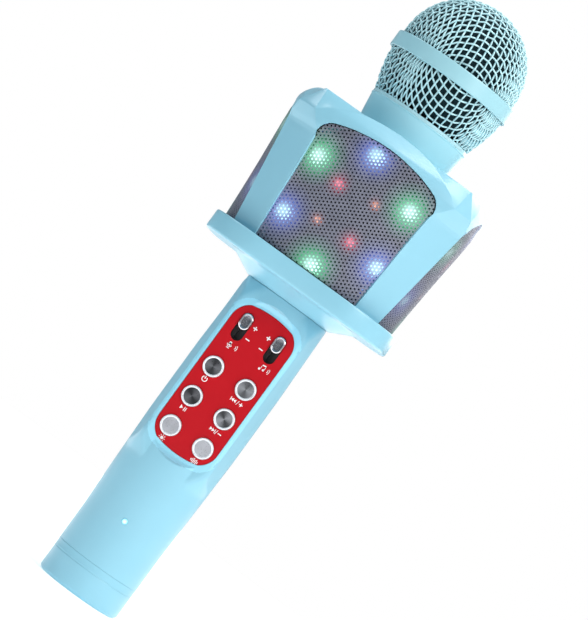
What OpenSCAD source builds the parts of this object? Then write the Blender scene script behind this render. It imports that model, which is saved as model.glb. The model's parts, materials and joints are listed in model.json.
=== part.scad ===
// Hand-held karaoke microphone toy with a lit square speaker chamber under its mesh head.
// Millimetres. The tail stands on z = 0, +Z runs along the handle and the controls face -Y.

/* [Handle] */
// Height of the seam between the tail cap and the handle
cap_seam_z = 13.9; // [13:0.1:15]
// Height of the seam between the handle and the speaker chamber
handle_top_z = 137.4; // [136.5:0.1:138]
// Radius of the straight lower end of the handle, where a clip grips
grip_r = 18; // [17.8:0.1:18.3]
// Radius of the handle at the controls
waist_r = 19.2; // [19:0.1:19.6]
// Radius of the handle at its top seam
handle_top_r = 18.5; // [18.3:0.1:18.8]
// Thickness of the handle wall
handle_wall = 2; // [1.8:0.1:2.2]

/* [Controls] */
// Half of the control panel's width
panel_half_w = 13.65; // [13.4:0.05:13.9]
// Height of the control panel's lower end
panel_z0 = 66; // [65.5:0.1:66.5]
// Height of the control panel's upper end
panel_z1 = 129.7; // [129.2:0.1:130]
// Radius of a button's cap
button_r = 4.1; // [3.8:0.05:4.2]
// How far a button sinks when it is pressed
button_travel = 0.7; // [0.4:0.05:0.7]
// Distance of each column of controls from the middle
column_x = 7.6; // [7.5:0.05:7.7]
// Height of the lowest row of buttons
button_z0 = 73.5; // [73.3:0.1:74]
// Distance between rows of buttons
button_pitch = 13.8; // [13.2:0.1:13.9]
// Height of the middle of the volume slots
slot_z = 119.8; // [119.6:0.1:120]
// How far a volume knob slides
slide_travel = 4.6; // [3:0.1:4.6]

/* [Speaker chamber] */
// Half of the flange's width
flange_half_w = 41.5; // [41:0.1:42.5]
// Height of the flange's lower face
flange_z0 = 142.6; // [142.4:0.1:142.8]
// Height of the flange's upper face
flange_z1 = 150.6; // [150.4:0.1:150.8]
// Radius of the flange's corners, seen from above
flange_corner_r = 24; // [20:0.5:26]
// Thickness of the moulded walls of the chamber
shell_wall = 2.4; // [2:0.1:2.6]
// Thickness of the perforated grille sheet
grille_wall = 1; // [0.8:0.1:1.2]

/* [Mesh head] */
// Height of the top of the collar
collar_z1 = 223; // [222.5:0.1:223]
// Radius of the mesh ball
dome_r = 25.8; // [25.6:0.1:25.9]
// Height of the middle of the mesh ball
dome_z = 250.7; // [250.5:0.1:251]
// Outer radius of the band round the ball
band_r = 27.1; // [27:0.1:28]
// Thickness of the mesh
mesh_wall = 0.8; // [0.6:0.1:0.9]

/* [Ports] */
// Height of the charging socket
charging_z = 124; // [123.5:0.1:124.5]
// Height of the audio socket
audio_z = 112; // [111.5:0.1:112.5]
// Height of the memory card socket
card_z = 101; // [100.5:0.1:101.5]
// Radius of the audio socket's bore
jack_r = 1.8; // [1.78:0.01:1.85]

/* [Hidden] */
$fn = 96;

// Depths along Y at the front of the handle, from the button tops inwards
button_top_y = -17.2;
stem_y = -12.6;
rim_y = -16.4;
panel_y = -16.2;
panel_back_y = -14.8;
wall_back_y = -12.8;
board_y = -9.6;
board_back_y = -8;
// Depths along Y at the rear of the handle
port_flat_y = 17.6;
port_pocket_y = 16.2;
port_wall_y = 15;

panel_corner_r = 8.5;
panel_arch_r = 38;
pad_half_w = 15.9;
pad_corner_r = 2;
button_zs = [button_z0 + 2 * button_pitch, button_z0 + button_pitch, button_z0];
slot_length = 12;
slot_width = 5;
knob_length = slot_length - slide_travel - 0.4;
knob_z = slot_z + slide_travel / 2;
panel_boss_zs = [124, 94.2, 69.3];

status_z = 33.8;

battery_y = 3.2;
battery_r = 9.2;
battery_z0 = 20;
battery_z1 = 85;

screw_xy = 25.6;
led_y = -30.2;
led_board_t = 1.2;
led_z = 177.3;
led_ring_r = 23.8;
led_inner_r = 11.2;

// Rings of the chamber's outer skin: height, half-width of a flat side at its corners,
// distance of those corners from the middle plane, and distance of the bulged side's middle
skin = [
    [150, 23.4, 33.6, 40.1], [163, 24.3, 35.4, 40.9], [176, 25.1, 37.3, 41.9],
    [188, 26, 39, 43], [194, 26.5, 39.9, 43.5], [198, 29.2, 40.3, 43.7],
    [202, 32.3, 39.8, 43.5], [206.6, 32.6, 37.6, 42.5], [210.8, 33, 34.6, 38.6],
    [211.1, 28, 30.5, 33]
];
cavity_top_z = 208.6;
cavity = concat(
    [[149.9, 22.4, 31.2, 37.7]],
    [for (i = [1:6]) [skin[i][0], skin[i][1] - 1, skin[i][2] - shell_wall, skin[i][3] - shell_wall]],
    [[cavity_top_z, 23, 34.6, 36.4]]
);
window_z0 = 149;
window_z1 = 205.7;
window_arch_r = 64;
window_corner_r = 6.5;
side_steps = 8;
facet_steps = 3;

// ---------- shared shapes ----------

// A flat shape drawn in X and Z, as thick as t, with its rear face at y
module upright(y, t) {
    translate([0, y, 0]) rotate([90, 0, 0]) linear_extrude(t) children();
}

// A round post along Y between two depths
module post_y(r, y_front, y_back) {
    translate([0, y_back, 0]) rotate([90, 0, 0]) cylinder(r = r, h = y_back - y_front);
}

module obround(length, width) {
    square([width, length - width], center = true);
    for (side = [-1, 1]) translate([0, side * (length - width) / 2]) circle(width / 2);
}

module round_square(half_w, r) {
    square([2 * half_w, 2 * (half_w - r)], center = true);
    square([2 * (half_w - r), 2 * half_w], center = true);
    for (x = [-1, 1], y = [-1, 1]) translate([x * (half_w - r), y * (half_w - r)]) circle(r);
}

module round_bar(half_w, z0, z1, r) {
    translate([-half_w, z0 + r]) square([2 * half_w, z1 - z0 - 2 * r]);
    translate([-half_w + r, z0]) square([2 * (half_w - r), z1 - z0]);
    for (x = [-1, 1], z = [z0 + r, z1 - r]) translate([x * (half_w - r), z]) circle(r);
}

// The control panel's outline with arched ends, grown by a margin
module panel_outline(grow) {
    intersection() {
        round_bar(panel_half_w + grow, panel_z0 - grow, panel_z1 + grow, panel_corner_r + grow);
        translate([0, panel_z1 - panel_arch_r]) circle(panel_arch_r + grow);
        translate([0, panel_z0 + panel_arch_r]) circle(panel_arch_r + grow);
    }
}

module ring_z(r_out, r_in, z0, z1) {
    difference() {
        translate([0, 0, z0]) cylinder(r = r_out, h = z1 - z0);
        translate([0, 0, z0 - 1]) cylinder(r = r_in, h = z1 - z0 + 2);
    }
}

// A machine screw along +Z with its head below z = 0
module screw_z(r, length, head_r, head_h) {
    cylinder(r = r, h = length);
    translate([0, 0, -head_h]) difference() {
        cylinder(r = head_r, h = head_h);
        for (a = [0, 90]) rotate(a)
            translate([-head_r * 0.6, -0.3, -0.1]) cube([head_r * 1.2, 0.6, 0.6]);
    }
}

// ---------- tail ----------

module tail_cap() {
    cap_r = grip_r - 0.1;
    top_z = cap_seam_z - 0.15;
    color("skyblue") difference() {
        rotate_extrude() polygon([
            [0, 0], [cap_r - 1.4, 0], [cap_r - 0.5, 0.4], [cap_r, 1.3], [cap_r, 10.4],
            [cap_r - 0.35, 10.55], [cap_r - 0.35, 10.85], [cap_r, 11], [cap_r, top_z], [0, top_z]
        ]);
        translate([0, 0, 2.2]) cylinder(r = 15.05, h = top_z);
        translate([0, 0, 11.9]) cylinder(r = 16.4, h = top_z);
    }
}

module tail_seal() {
    color("dimgray") translate([0, 0, 13]) rotate_extrude() translate([15.65, 0]) circle(0.62, $fn = 32);
}

// Conical contact spring, swept as a tube along a helix that narrows upwards
module tail_spring() {
    turns = 6;
    rings_per_turn = 10;
    sides = 6;
    wire_r = 0.4;
    z0 = 2.7;
    z1 = 19.4;
    rings = turns * rings_per_turn;
    points = [
        for (i = [0:rings], s = [0:sides - 1])
            let (f = i / rings, a = 360 * turns * f, r = 7 - 3 * f, b = 360 * s / sides)
                [(r + wire_r * cos(b)) * cos(a), (r + wire_r * cos(b)) * sin(a),
                 z0 + (z1 - z0) * f + wire_r * sin(b)]
    ];
    sides_faces = [
        for (i = [0:rings - 1], s = [0:sides - 1])
            let (t = (s + 1) % sides)
                [i * sides + s, (i + 1) * sides + s, (i + 1) * sides + t, i * sides + t]
    ];
    first = [for (s = [0:sides - 1]) s];
    last = [for (s = [sides - 1:-1:0]) rings * sides + s];
    color("silver") polyhedron(points, concat(sides_faces, [first, last]));
}

// ---------- battery ----------

module battery_cell() {
    color("royalblue") translate([0, battery_y, battery_z0]) {
        cylinder(r = battery_r, h = battery_z1 - battery_z0);
        cylinder(r = 2.8, h = battery_z1 - battery_z0 + 1);
    }
}

module battery_contact() {
    color("gold") translate([0, battery_y, battery_z1 + 1]) {
        cylinder(r = 6, h = 0.6);
        translate([-1.5, -8, 0]) cube([3, 4, 0.6]);
    }
}

module battery_cradle() {
    color("black") {
        difference() {
            translate([0, battery_y, 24]) cylinder(r = 10.9, h = 65.2);
            translate([0, battery_y, 23]) cylinder(r = battery_r + 0.25, h = 63.6);
            translate([-12, -12, 23]) cube([24, 11, 63.6]);
            translate([0, battery_y, 80]) cylinder(r = 1.5, h = 12);
        }
        translate([-1, battery_y + 10.6, 26]) cube([2, 2, 60]);
    }
}

// ---------- handle ----------

handle_outer = [
    [grip_r, cap_seam_z], [grip_r, 30], [grip_r + 0.6, 50], [waist_r, 75], [waist_r, 105],
    [handle_top_r, handle_top_z]
];

module handle_solid() {
    rotate_extrude() polygon(concat([[0, cap_seam_z]], handle_outer, [[0, handle_top_z]]));
}

// Front pad that squares the round handle off beside the control panel
module handle_pad() {
    z0 = 56;
    corner = [pad_half_w - pad_corner_r, rim_y + pad_corner_r];
    reach = norm(corner);
    tangent = atan2(corner[1], corner[0]) + acos((waist_r - pad_corner_r) / reach);
    outer = [waist_r * cos(tangent), waist_r * sin(tangent)];
    inner = corner + pad_corner_r * [cos(tangent), sin(tangent)];
    intersection() {
        translate([0, 0, z0]) linear_extrude(handle_top_z - z0) {
            polygon([[0, 0], outer, inner, corner, [corner[0], rim_y],
                     [-corner[0], rim_y], [-corner[0], corner[1]],
                     [-inner[0], inner[1]], [-outer[0], outer[1]]]);
            for (side = [-1, 1]) translate([side * corner[0], corner[1]]) circle(pad_corner_r);
        }
        rotate_extrude() polygon([[0, z0], [18.7, z0], [22.1, 65], [22.1, 129.5],
                                  [handle_top_r, handle_top_z], [0, handle_top_z]]);
    }
}

module handle_cavity() {
    inner = [for (p = handle_outer) [p[0] - handle_wall, p[1]]];
    difference() {
        rotate_extrude() polygon(concat(
            [[0, cap_seam_z + 2.5], [inner[0][0], cap_seam_z + 2.5]],
            [for (i = [1:len(inner) - 1]) inner[i]],
            [[handle_top_r - handle_wall, handle_top_z + 1], [0, handle_top_z + 1]]
        ));
        translate([-25, wall_back_y - 20, 60]) cube([50, 20, 74]);
        translate([-25, port_wall_y, 88]) cube([50, 20, 46]);
    }
}

module handle_tube() {
    color("skyblue") difference() {
        union() {
            handle_solid();
            handle_pad();
            translate([0, 0, 4.5]) cylinder(r = 14.9, h = cap_seam_z);
        }
        translate([0, 0, 4]) cylinder(r = 13, h = 14);
        handle_cavity();
        // sloping recess round the control panel
        hull() {
            upright(rim_y, 0.01) panel_outline(1.5, $fn = 48);
            upright(rim_y - 3.2, 0.01) panel_outline(4.2, $fn = 48);
        }
        upright(panel_back_y, 3) panel_outline(0.15);
        upright(wall_back_y + 1, 4) panel_outline(-1.1);
        // recess and pocket for the port panel at the rear
        upright(port_flat_y + 3, 3) round_bar(8.6, 91.5, 133, 4);
        upright(port_flat_y + 1, port_flat_y + 1 - port_pocket_y) round_bar(6.65, 93.4, 131.1, 3.15);
        upright(port_flat_y, 4) port_openings(0.2);
        translate([0, 0, status_z]) post_y(1.3, -20, -12);
    }
}

module status_light() {
    color("aqua") translate([0, 0, status_z]) {
        post_y(1.2, -18.1, -15);
        intersection() {
            translate([0, -16.9, 0]) sphere(1.7);
            post_y(1.2, -20, -17);
        }
    }
}

// ---------- control panel and its controls ----------

module control_panel() {
    color("crimson") difference() {
        union() {
            upright(panel_back_y, panel_back_y - panel_y) panel_outline(0);
            for (z = panel_boss_zs) translate([0, 0, z]) post_y(1.9, panel_back_y, board_y);
        }
        for (x = [-column_x, column_x], z = button_zs)
            translate([x, 0, z]) post_y(button_r + 0.15, -20, -10);
        for (x = [-column_x, column_x])
            upright(-10, 10) translate([x, slot_z]) obround(slot_length, slot_width);
        for (z = panel_boss_zs) translate([0, 0, z]) post_y(0.8, -13.4, -5);
    }
}

// Cap, retaining flange and stem of one button, turned about Y
module push_button(x, z) {
    cap_h = panel_back_y + 0.1 - button_top_y;
    stem_h = stem_y - button_top_y;
    color("silver") translate([x, button_top_y, z]) rotate([-90, 0, 0]) rotate_extrude() polygon([
        [0, 0.15], [button_r - 0.9, 0.15], [button_r - 0.75, 0], [button_r - 0.4, 0], [button_r, 0.4],
        [button_r, cap_h], [button_r + 0.45, cap_h], [button_r + 0.45, cap_h + 0.8],
        [1.9, cap_h + 0.8], [1.9, stem_h], [0, stem_h]
    ]);
}

module power_button() { push_button(-column_x, button_zs[0]); }
module play_button() { push_button(-column_x, button_zs[1]); }
module light_button() { push_button(-column_x, button_zs[2]); }
module previous_button() { push_button(column_x, button_zs[0]); }
module next_button() { push_button(column_x, button_zs[1]); }
module effect_button() { push_button(column_x, button_zs[2]); }

module volume_knob(x) {
    color("silver") translate([x, 0, knob_z]) {
        upright(-13.2, 3.8) obround(knob_length, slot_width - 0.4);
        upright(-17, 0.4) obround(knob_length - 0.7, slot_width - 1.1);
        translate([-0.6, -13.3, -1.2]) cube([1.2, 2.5, 2.4]);
    }
}

module mic_volume_knob() { volume_knob(-column_x); }
module music_volume_knob() { volume_knob(column_x); }

module potentiometer(x) {
    color("black") difference() {
        translate([x - 3.3, -12.6, slot_z - 8.2]) cube([6.6, 3, 16.4]);
        translate([x - 0.8, -13, slot_z - 5.2]) cube([1.6, 2.6, 10.4]);
    }
}

module mic_potentiometer() { potentiometer(-column_x); }
module music_potentiometer() { potentiometer(column_x); }

module tact_switches() {
    color("dimgray") for (x = [-column_x, column_x], z = button_zs) translate([x, 0, z]) {
        translate([-3, -11.2, -3]) cube([6, 1.6, 6]);
        post_y(1.7, stem_y + button_travel + 0.05, -11.1);
    }
}

module main_board() {
    color("darkgreen") difference() {
        translate([-12, board_y, 64.5]) cube([24, board_back_y - board_y, 67]);
        for (z = panel_boss_zs) translate([0, 0, z]) post_y(1, -12, -5);
    }
}

module board_screws() {
    color("silver") for (z = panel_boss_zs)
        translate([0, board_back_y, z]) rotate([90, 0, 0]) screw_z(0.75, 4.6, 1.6, 1.1);
}

// ---------- ports at the rear ----------

module port_openings(grow) {
    translate([-4.1 - grow, charging_z - 1.6 - grow]) square([8.2 + 2 * grow, 3.2 + 2 * grow]);
    translate([0, audio_z]) circle(3 + grow);
    translate([-6.1 - grow, card_z - 0.95 - grow]) square([12.2 + 2 * grow, 1.9 + 2 * grow]);
}

module port_panel() {
    color("black") difference() {
        upright(port_flat_y - 0.1, port_flat_y - 0.1 - port_pocket_y) round_bar(6.5, 93.55, 130.95, 3);
        upright(20, 6) port_openings(0);
    }
}

module port_board() {
    color("darkgreen") difference() {
        translate([-9, 8, 94]) cube([18, 1.4, 37]);
        translate([-4.3, 7, audio_z - 4.3]) cube([8.6, 4, 8.6]);
    }
}

module charging_socket() {
    color("silver") translate([0, 0, charging_z]) {
        difference() {
            translate([-3.9, 9.4, -1.4]) cube([7.8, 7.9, 2.8]);
            translate([-3.4, 11.4, -0.95]) cube([6.8, 7, 1.9]);
        }
        translate([-2.2, 11, -0.3]) cube([4.4, 5, 0.6]);
    }
}

module audio_socket() {
    color("dimgray") translate([0, 0, audio_z]) difference() {
        union() {
            translate([-4, 3.2, -4]) cube([8, 11.6, 8]);
            post_y(2.9, 14, 17.4);
        }
        post_y(jack_r, 3.4, 18);
    }
}

module card_socket() {
    color("silver") translate([0, 0, card_z]) difference() {
        translate([-6, 9.4, -0.85]) cube([12, 7.7, 1.7]);
        translate([-5.6, 10.2, -0.45]) cube([11.2, 8, 0.9]);
    }
}

// ---------- speaker chamber ----------

module at_frame_screws() {
    for (x = [-screw_xy, screw_xy], y = [-screw_xy, screw_xy]) translate([x, y, 0]) children();
}

module base_flange() {
    floor_z = flange_z0 + 2.4;
    color("skyblue") difference() {
        union() {
            rotate_extrude() polygon([
                [0, handle_top_z - 3], [16.3, handle_top_z - 3], [16.3, handle_top_z + 0.1],
                [19, handle_top_z + 0.1], [20.4, handle_top_z + 0.5], [27, 141.6],
                [30, flange_z0], [30, flange_z0 + 1], [0, flange_z0 + 1]
            ]);
            translate([0, 0, flange_z0]) linear_extrude(flange_z1 - flange_z0)
                round_square(flange_half_w, flange_corner_r);
        }
        difference() {
            translate([0, 0, floor_z]) linear_extrude(10)
                round_square(flange_half_w - shell_wall, flange_corner_r - shell_wall);
            at_frame_screws() translate([0, 0, floor_z - 1]) cylinder(r = 3.5, h = 3.7);
        }
        translate([0, 0, 130]) cylinder(r = 14.4, h = 20);
        at_frame_screws() {
            translate([0, 0, flange_z0 - 1]) cylinder(r = 1.7, h = 8);
            translate([0, 0, flange_z0 - 1]) cylinder(r = 3.1, h = 2.3);
        }
    }
}

module chamber_floor() {
    z0 = flange_z0 + 5.1;
    color("dimgray") difference() {
        translate([0, 0, z0]) linear_extrude(150 - z0)
            round_square(flange_half_w - shell_wall - 0.3, flange_corner_r - shell_wall - 0.3);
        at_frame_screws() translate([0, 0, 145]) cylinder(r = 1.7, h = 8);
        translate([0, 21, 145]) cylinder(r = 3, h = 8);
    }
}

module frame_screws() {
    color("silver") at_frame_screws() translate([0, 0, flange_z0 + 1.3]) screw_z(1.45, 18, 2.8, 1.1);
}

// One ring of the chamber's skin as points: four bulged sides joined by four flat corners
function skin_ring(r) = [
    for (q = [0:3], k = [0:side_steps + facet_steps - 1])
        let (
            t = 2 * k / side_steps - 1,
            s = (k - side_steps) / facet_steps,
            x = k < side_steps ? r[1] * t : r[1] + (r[2] - r[1]) * s,
            y = k < side_steps ? -r[3] + (r[3] - r[2]) * t * t : -r[2] + (r[2] - r[1]) * s
        )
            [x * cos(90 * q) - y * sin(90 * q), x * sin(90 * q) + y * cos(90 * q), r[0]]
];

// The same number of points on a circle
function round_ring(r, z) = [
    for (p = skin_ring(skin[0]))
        let (n = norm([p[0], p[1]]))
            [p[0] * r / n, p[1] * r / n, z]
];

// A closed skin over a stack of rings, each end closed by a fan round its own middle
module loft(rings) {
    n = len(rings[0]);
    m = len(rings);
    walls = [
        for (i = [0:m - 2], k = [0:n - 1])
            let (j = (k + 1) % n, a = i * n, b = (i + 1) * n)
                for (f = [[a + k, b + k, a + j], [a + j, b + k, b + j]]) f
    ];
    bottom = [for (k = [0:n - 1]) [k, (k + 1) % n, m * n]];
    top = [for (k = [0:n - 1]) [(m - 1) * n + (k + 1) % n, (m - 1) * n + k, m * n + 1]];
    middles = [[0, 0, rings[0][0][2]], [0, 0, rings[m - 1][0][2]]];
    polyhedron(concat([for (r = rings) each r], middles), concat(walls, bottom, top));
}

// Outline of a grille window in X and Z, shrunk by a margin, with an arched top
module window_outline(shrink) {
    z_top = window_z1 - shrink;
    arch_z = z_top - window_arch_r;
    half_top = 26.9 - shrink;
    r = window_corner_r;
    // centre of the corner arc that touches both the side and the arch
    corner_x = half_top - r;
    corner_z = arch_z + sqrt(pow(window_arch_r - r, 2) - corner_x * corner_x);
    arch_end = atan2(corner_z - arch_z, corner_x);
    right = [
        for (a = [0:6]) [corner_x + r * cos(arch_end * a / 6), corner_z + r * sin(arch_end * a / 6)]
    ];
    crest = [
        for (a = [1:7]) let (b = arch_end + (180 - 2 * arch_end) * a / 8)
            [window_arch_r * cos(b), arch_z + window_arch_r * sin(b)]
    ];
    left = [for (i = [6:-1:0]) [-right[i][0], right[i][1]]];
    foot = 23.35 - shrink;
    polygon(concat([[foot, window_z0]], right, crest, left, [[-foot, window_z0]]));
}

module speaker_frame() {
    rings = concat([for (r = skin) skin_ring(r)], [round_ring(22, 211), round_ring(21, 211)]);
    color("skyblue") {
        difference() {
            loft(rings);
            loft([for (r = cavity) skin_ring(r)]);
            for (a = [0, 90, 180, 270]) rotate(a) upright(-20, 30) window_outline(0);
            translate([0, 0, 200]) cylinder(r = 12, h = 20);
            for (a = [30, 150, 270]) rotate(a) translate([15, 0, 200]) cylinder(r = 1.15, h = 20);
        }
        at_frame_screws() difference() {
            translate([0, 0, 150]) cylinder(r = 3, h = 14);
            translate([0, 0, 149]) cylinder(r = 1.5, h = 14);
        }
    }
}

// Depth of a grille's outer face at a place, a little inside the chamber's skin
function grille_depth(x, z) =
    let (
        rising = [for (i = [0:8]) skin[i]],
        a = lookup(z, [for (r = rising) [r[0], r[1]]]),
        b = lookup(z, [for (r = rising) [r[0], r[2]]]),
        c = lookup(z, [for (r = rising) [r[0], r[3]]])
    )
        c - (c - b) * (x / a) * (x / a) - 0.7;

// One bulged grille facing -Y, cut to its window
module grille_sheet() {
    columns = 10;
    rows = 12;
    half_w = 28;
    z0 = flange_z1 + 0.2;
    z1 = 206.5;
    function at(i, k, inset) =
        let (x = half_w * (2 * i / columns - 1), z = z0 + (z1 - z0) * k / rows)
            [x, inset - grille_depth(x, z), z];
    n = columns + 1;
    outer = [for (k = [0:rows], i = [0:columns]) at(i, k, 0)];
    inner = [for (k = [0:rows], i = [0:columns]) at(i, k, grille_wall)];
    m = len(outer);
    face = [
        for (k = [0:rows - 1], i = [0:columns - 1])
            let (p = k * n + i)
                for (f = [[p, p + n, p + 1], [p + 1, p + n, p + n + 1]]) f
    ];
    back = [for (f = face) [f[2] + m, f[1] + m, f[0] + m]];
    rim = concat([for (i = [0:columns]) i], [for (k = [1:rows]) k * n + columns],
                 [for (i = [columns - 1:-1:0]) rows * n + i], [for (k = [rows - 1:-1:1]) k * n]);
    edge = [
        for (i = [0:len(rim) - 1])
            let (p = rim[i], q = rim[(i + 1) % len(rim)])
                for (f = [[p, q, p + m], [q, q + m, p + m]]) f
    ];
    intersection() {
        polyhedron(concat(outer, inner), concat(face, back, edge));
        upright(-20, 30) window_outline(0.25);
    }
}

module front_grille() { color("gray") grille_sheet(); }
module right_grille() { color("gray") rotate(90) grille_sheet(); }
module rear_grille() { color("gray") rotate(180) grille_sheet(); }
module left_grille() { color("gray") rotate(270) grille_sheet(); }

module light_board() {
    color("darkslategray") upright(led_y + led_board_t, led_board_t)
        polygon([[-19.8, 150], [19.8, 150], [20, 152], [25, 171], [25, 195], [18, 204.5],
                 [-18, 204.5], [-25, 195], [-25, 171], [-20, 152]]);
}

module front_light_board() { light_board(); }
module right_light_board() { rotate(90) light_board(); }
module rear_light_board() { rotate(180) light_board(); }
module left_light_board() { rotate(270) light_board(); }

// One round-nosed lamp standing on its board
module lamp(r, height, angle, ring_r) {
    translate([ring_r * cos(angle), 0, led_z + ring_r * sin(angle)]) {
        post_y(r, led_y - height + r, led_y);
        translate([0, led_y - height + r, 0]) intersection() {
            sphere(r, $fn = 48);
            post_y(r, -r, 0);
        }
    }
}

module lamps() {
    color("white") {
        for (k = [0:5]) lamp(2.5, 4, 35 + 60 * k, led_ring_r);
        for (angle = [50, 140, 230, 313]) lamp(1.5, 3.2, angle, led_inner_r);
    }
}

module front_lights() { lamps(); }
module right_lights() { rotate(90) lamps(); }
module rear_lights() { rotate(180) lamps(); }
module left_lights() { rotate(270) lamps(); }

// ---------- loudspeaker, facing up inside the chamber ----------

module speaker_magnet() {
    color("dimgray") difference() {
        union() {
            ring_z(15.5, 7.4, 150, 158);
            translate([0, 0, 150]) cylinder(r = 12, h = 1.6);
            translate([0, 0, 150]) cylinder(r = 5.4, h = 8);
        }
        translate([0, 0, 149]) cylinder(r = 1.2, h = 10);
    }
}

module speaker_basket() {
    color("silver") difference() {
        rotate_extrude() polygon([
            [8.4, 158], [15.5, 158], [17, 159], [24.8, 173], [27, 174], [27, 175.2], [24, 175.2],
            [23.6, 174], [16.2, 160.6], [15, 159.4], [8.4, 159.4]
        ]);
        for (a = [0:60:300]) rotate(a) translate([19, 0, 162]) rotate([0, 60, 0])
            cylinder(r = 3, h = 8, center = true);
        for (a = [45:90:315]) rotate(a) translate([25.5, 0, 170]) cylinder(r = 0.8, h = 8);
    }
}

module speaker_surround() {
    color("black") rotate_extrude() translate([22.1, 175.3]) difference() {
        circle(1.7, $fn = 32);
        circle(1.2, $fn = 32);
        translate([-3, -3]) square([6, 3]);
    }
}

module speaker_cone() {
    color("darkslategray") {
        rotate_extrude() polygon([
            [6.8, 164], [8, 164.2], [19.9, 174.6], [19.9, 175.2], [19.2, 175.2], [7.4, 165], [6.8, 165]
        ]);
        ring_z(6.9, 6.3, 157.2, 165);
        translate([0, 0, 158]) difference() {
            sphere(9.9);
            sphere(9.3);
            translate([-12, -12, -24]) cube([24, 24, 30.6]);
        }
    }
}

// ---------- neck, capsule and mesh head ----------

module at_collar_screws() {
    for (a = [30, 150, 270]) rotate(a) translate([15, 0, 0]) children();
}

module neck_collar() {
    color("skyblue") difference() {
        rotate_extrude() polygon([
            [0, 211], [20.1, 211], [21.6, collar_z1 - 1], [22, collar_z1 - 0.6],
            [22, collar_z1], [0, collar_z1]
        ]);
        translate([0, 0, 213]) cylinder(r = 18.2, h = 20);
        translate([0, 0, 200]) cylinder(r = 10, h = 20);
        at_collar_screws() translate([0, 0, 200]) cylinder(r = 1.3, h = 20);
    }
}

module collar_screws() {
    color("silver") at_collar_screws() translate([0, 0, 215.5]) mirror([0, 0, 1])
        screw_z(1.1, 6.8, 2.1, 1.1);
}

module capsule_holder() {
    color("black") difference() {
        union() {
            translate([0, 0, 213]) cylinder(r = 18, h = 2.5);
            translate([0, 0, 213]) cylinder(r = 12.4, h = 23);
        }
        translate([0, 0, 217]) cylinder(r = 11, h = 30);
        translate([0, 0, 200]) cylinder(r = 7, h = 30);
        at_collar_screws() translate([0, 0, 200]) cylinder(r = 1.3, h = 20);
    }
}

module capsule_cushion() {
    color("dimgray") rotate_extrude() polygon([
        [8.5, 226], [10.9, 226], [10.9, 236.1], [12, 236.1], [12, 237.2], [8.5, 237.2]
    ]);
}

module mic_capsule() {
    color("silver") difference() {
        rotate_extrude() polygon([
            [0, 224], [8.4, 224], [8.4, 239.2], [7.8, 240], [0, 240]
        ]);
        translate([0, 0, 239.2]) cylinder(r = 6.2, h = 2);
        for (a = [0:60:300]) rotate(a) translate([3.6, 0, 237]) cylinder(r = 0.9, h = 5);
    }
}

module foam_windscreen() {
    foam_r = dome_r - 1.6;
    hollow_r = 17;
    color("black") {
        rotate_extrude() polygon([
            [14.5, 225.2], [19.2, 225.2], [22.6, 233], [foam_r, 241.5], [foam_r, dome_z],
            [hollow_r, dome_z], [hollow_r, 241]
        ]);
        translate([0, 0, dome_z]) difference() {
            sphere(foam_r);
            sphere(hollow_r);
            translate([-30, -30, -60]) cube(60);
        }
    }
}

module grille_thread_ring() {
    color("silver") rotate_extrude() polygon([
        [16.8, 217], [18.1, 217], [18.1, collar_z1 + 0.1], [21.8, collar_z1 + 0.1],
        [21.8, collar_z1 + 1.3], [16.8, collar_z1 + 1.3]
    ]);
}

module grille_cup() {
    z0 = collar_z1 + 1.3;
    color("lightblue") rotate_extrude() polygon([
        [21.7, z0], [23.2, 228.5], [24.5, 233], [25.9, 241], [25.9, 244.5],
        [25.9 - mesh_wall, 244.5], [25.9 - mesh_wall, 241], [24.5 - mesh_wall, 233.2],
        [23.2 - mesh_wall, 228.8], [21.7 - mesh_wall, z0]
    ]);
}

module grille_band() {
    z0 = 241.5;
    z1 = 248;
    r_in = 26.05;
    color("skyblue") rotate_extrude() polygon([
        [r_in, z0], [band_r - 0.4, z0], [band_r, z0 + 0.6],
        [band_r, z1 - 0.6], [band_r - 0.4, z1], [r_in, z1]
    ]);
}

module grille_dome() {
    color("lightblue") translate([0, 0, dome_z]) difference() {
        sphere(dome_r, $fn = 160);
        sphere(dome_r - mesh_wall, $fn = 160);
        translate([-30, -30, -65.2]) cube(60);
    }
}

tail_cap();
tail_seal();
tail_spring();
battery_cell();
battery_contact();
battery_cradle();
handle_tube();
control_panel();
power_button();
play_button();
light_button();
previous_button();
next_button();
effect_button();
mic_volume_knob();
music_volume_knob();
mic_potentiometer();
music_potentiometer();
tact_switches();
main_board();
board_screws();
status_light();
port_panel();
port_board();
charging_socket();
audio_socket();
card_socket();
base_flange();
chamber_floor();
frame_screws();
speaker_frame();
front_grille();
right_grille();
rear_grille();
left_grille();
front_light_board();
right_light_board();
rear_light_board();
left_light_board();
front_lights();
right_lights();
rear_lights();
left_lights();
speaker_basket();
speaker_magnet();
speaker_surround();
speaker_cone();
neck_collar();
collar_screws();
capsule_holder();
capsule_cushion();
mic_capsule();
foam_windscreen();
grille_thread_ring();
grille_cup();
grille_band();
grille_dome();
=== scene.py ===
import json
import math

import bmesh
import bpy
import numpy as np
from mathutils import Matrix, Vector


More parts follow.
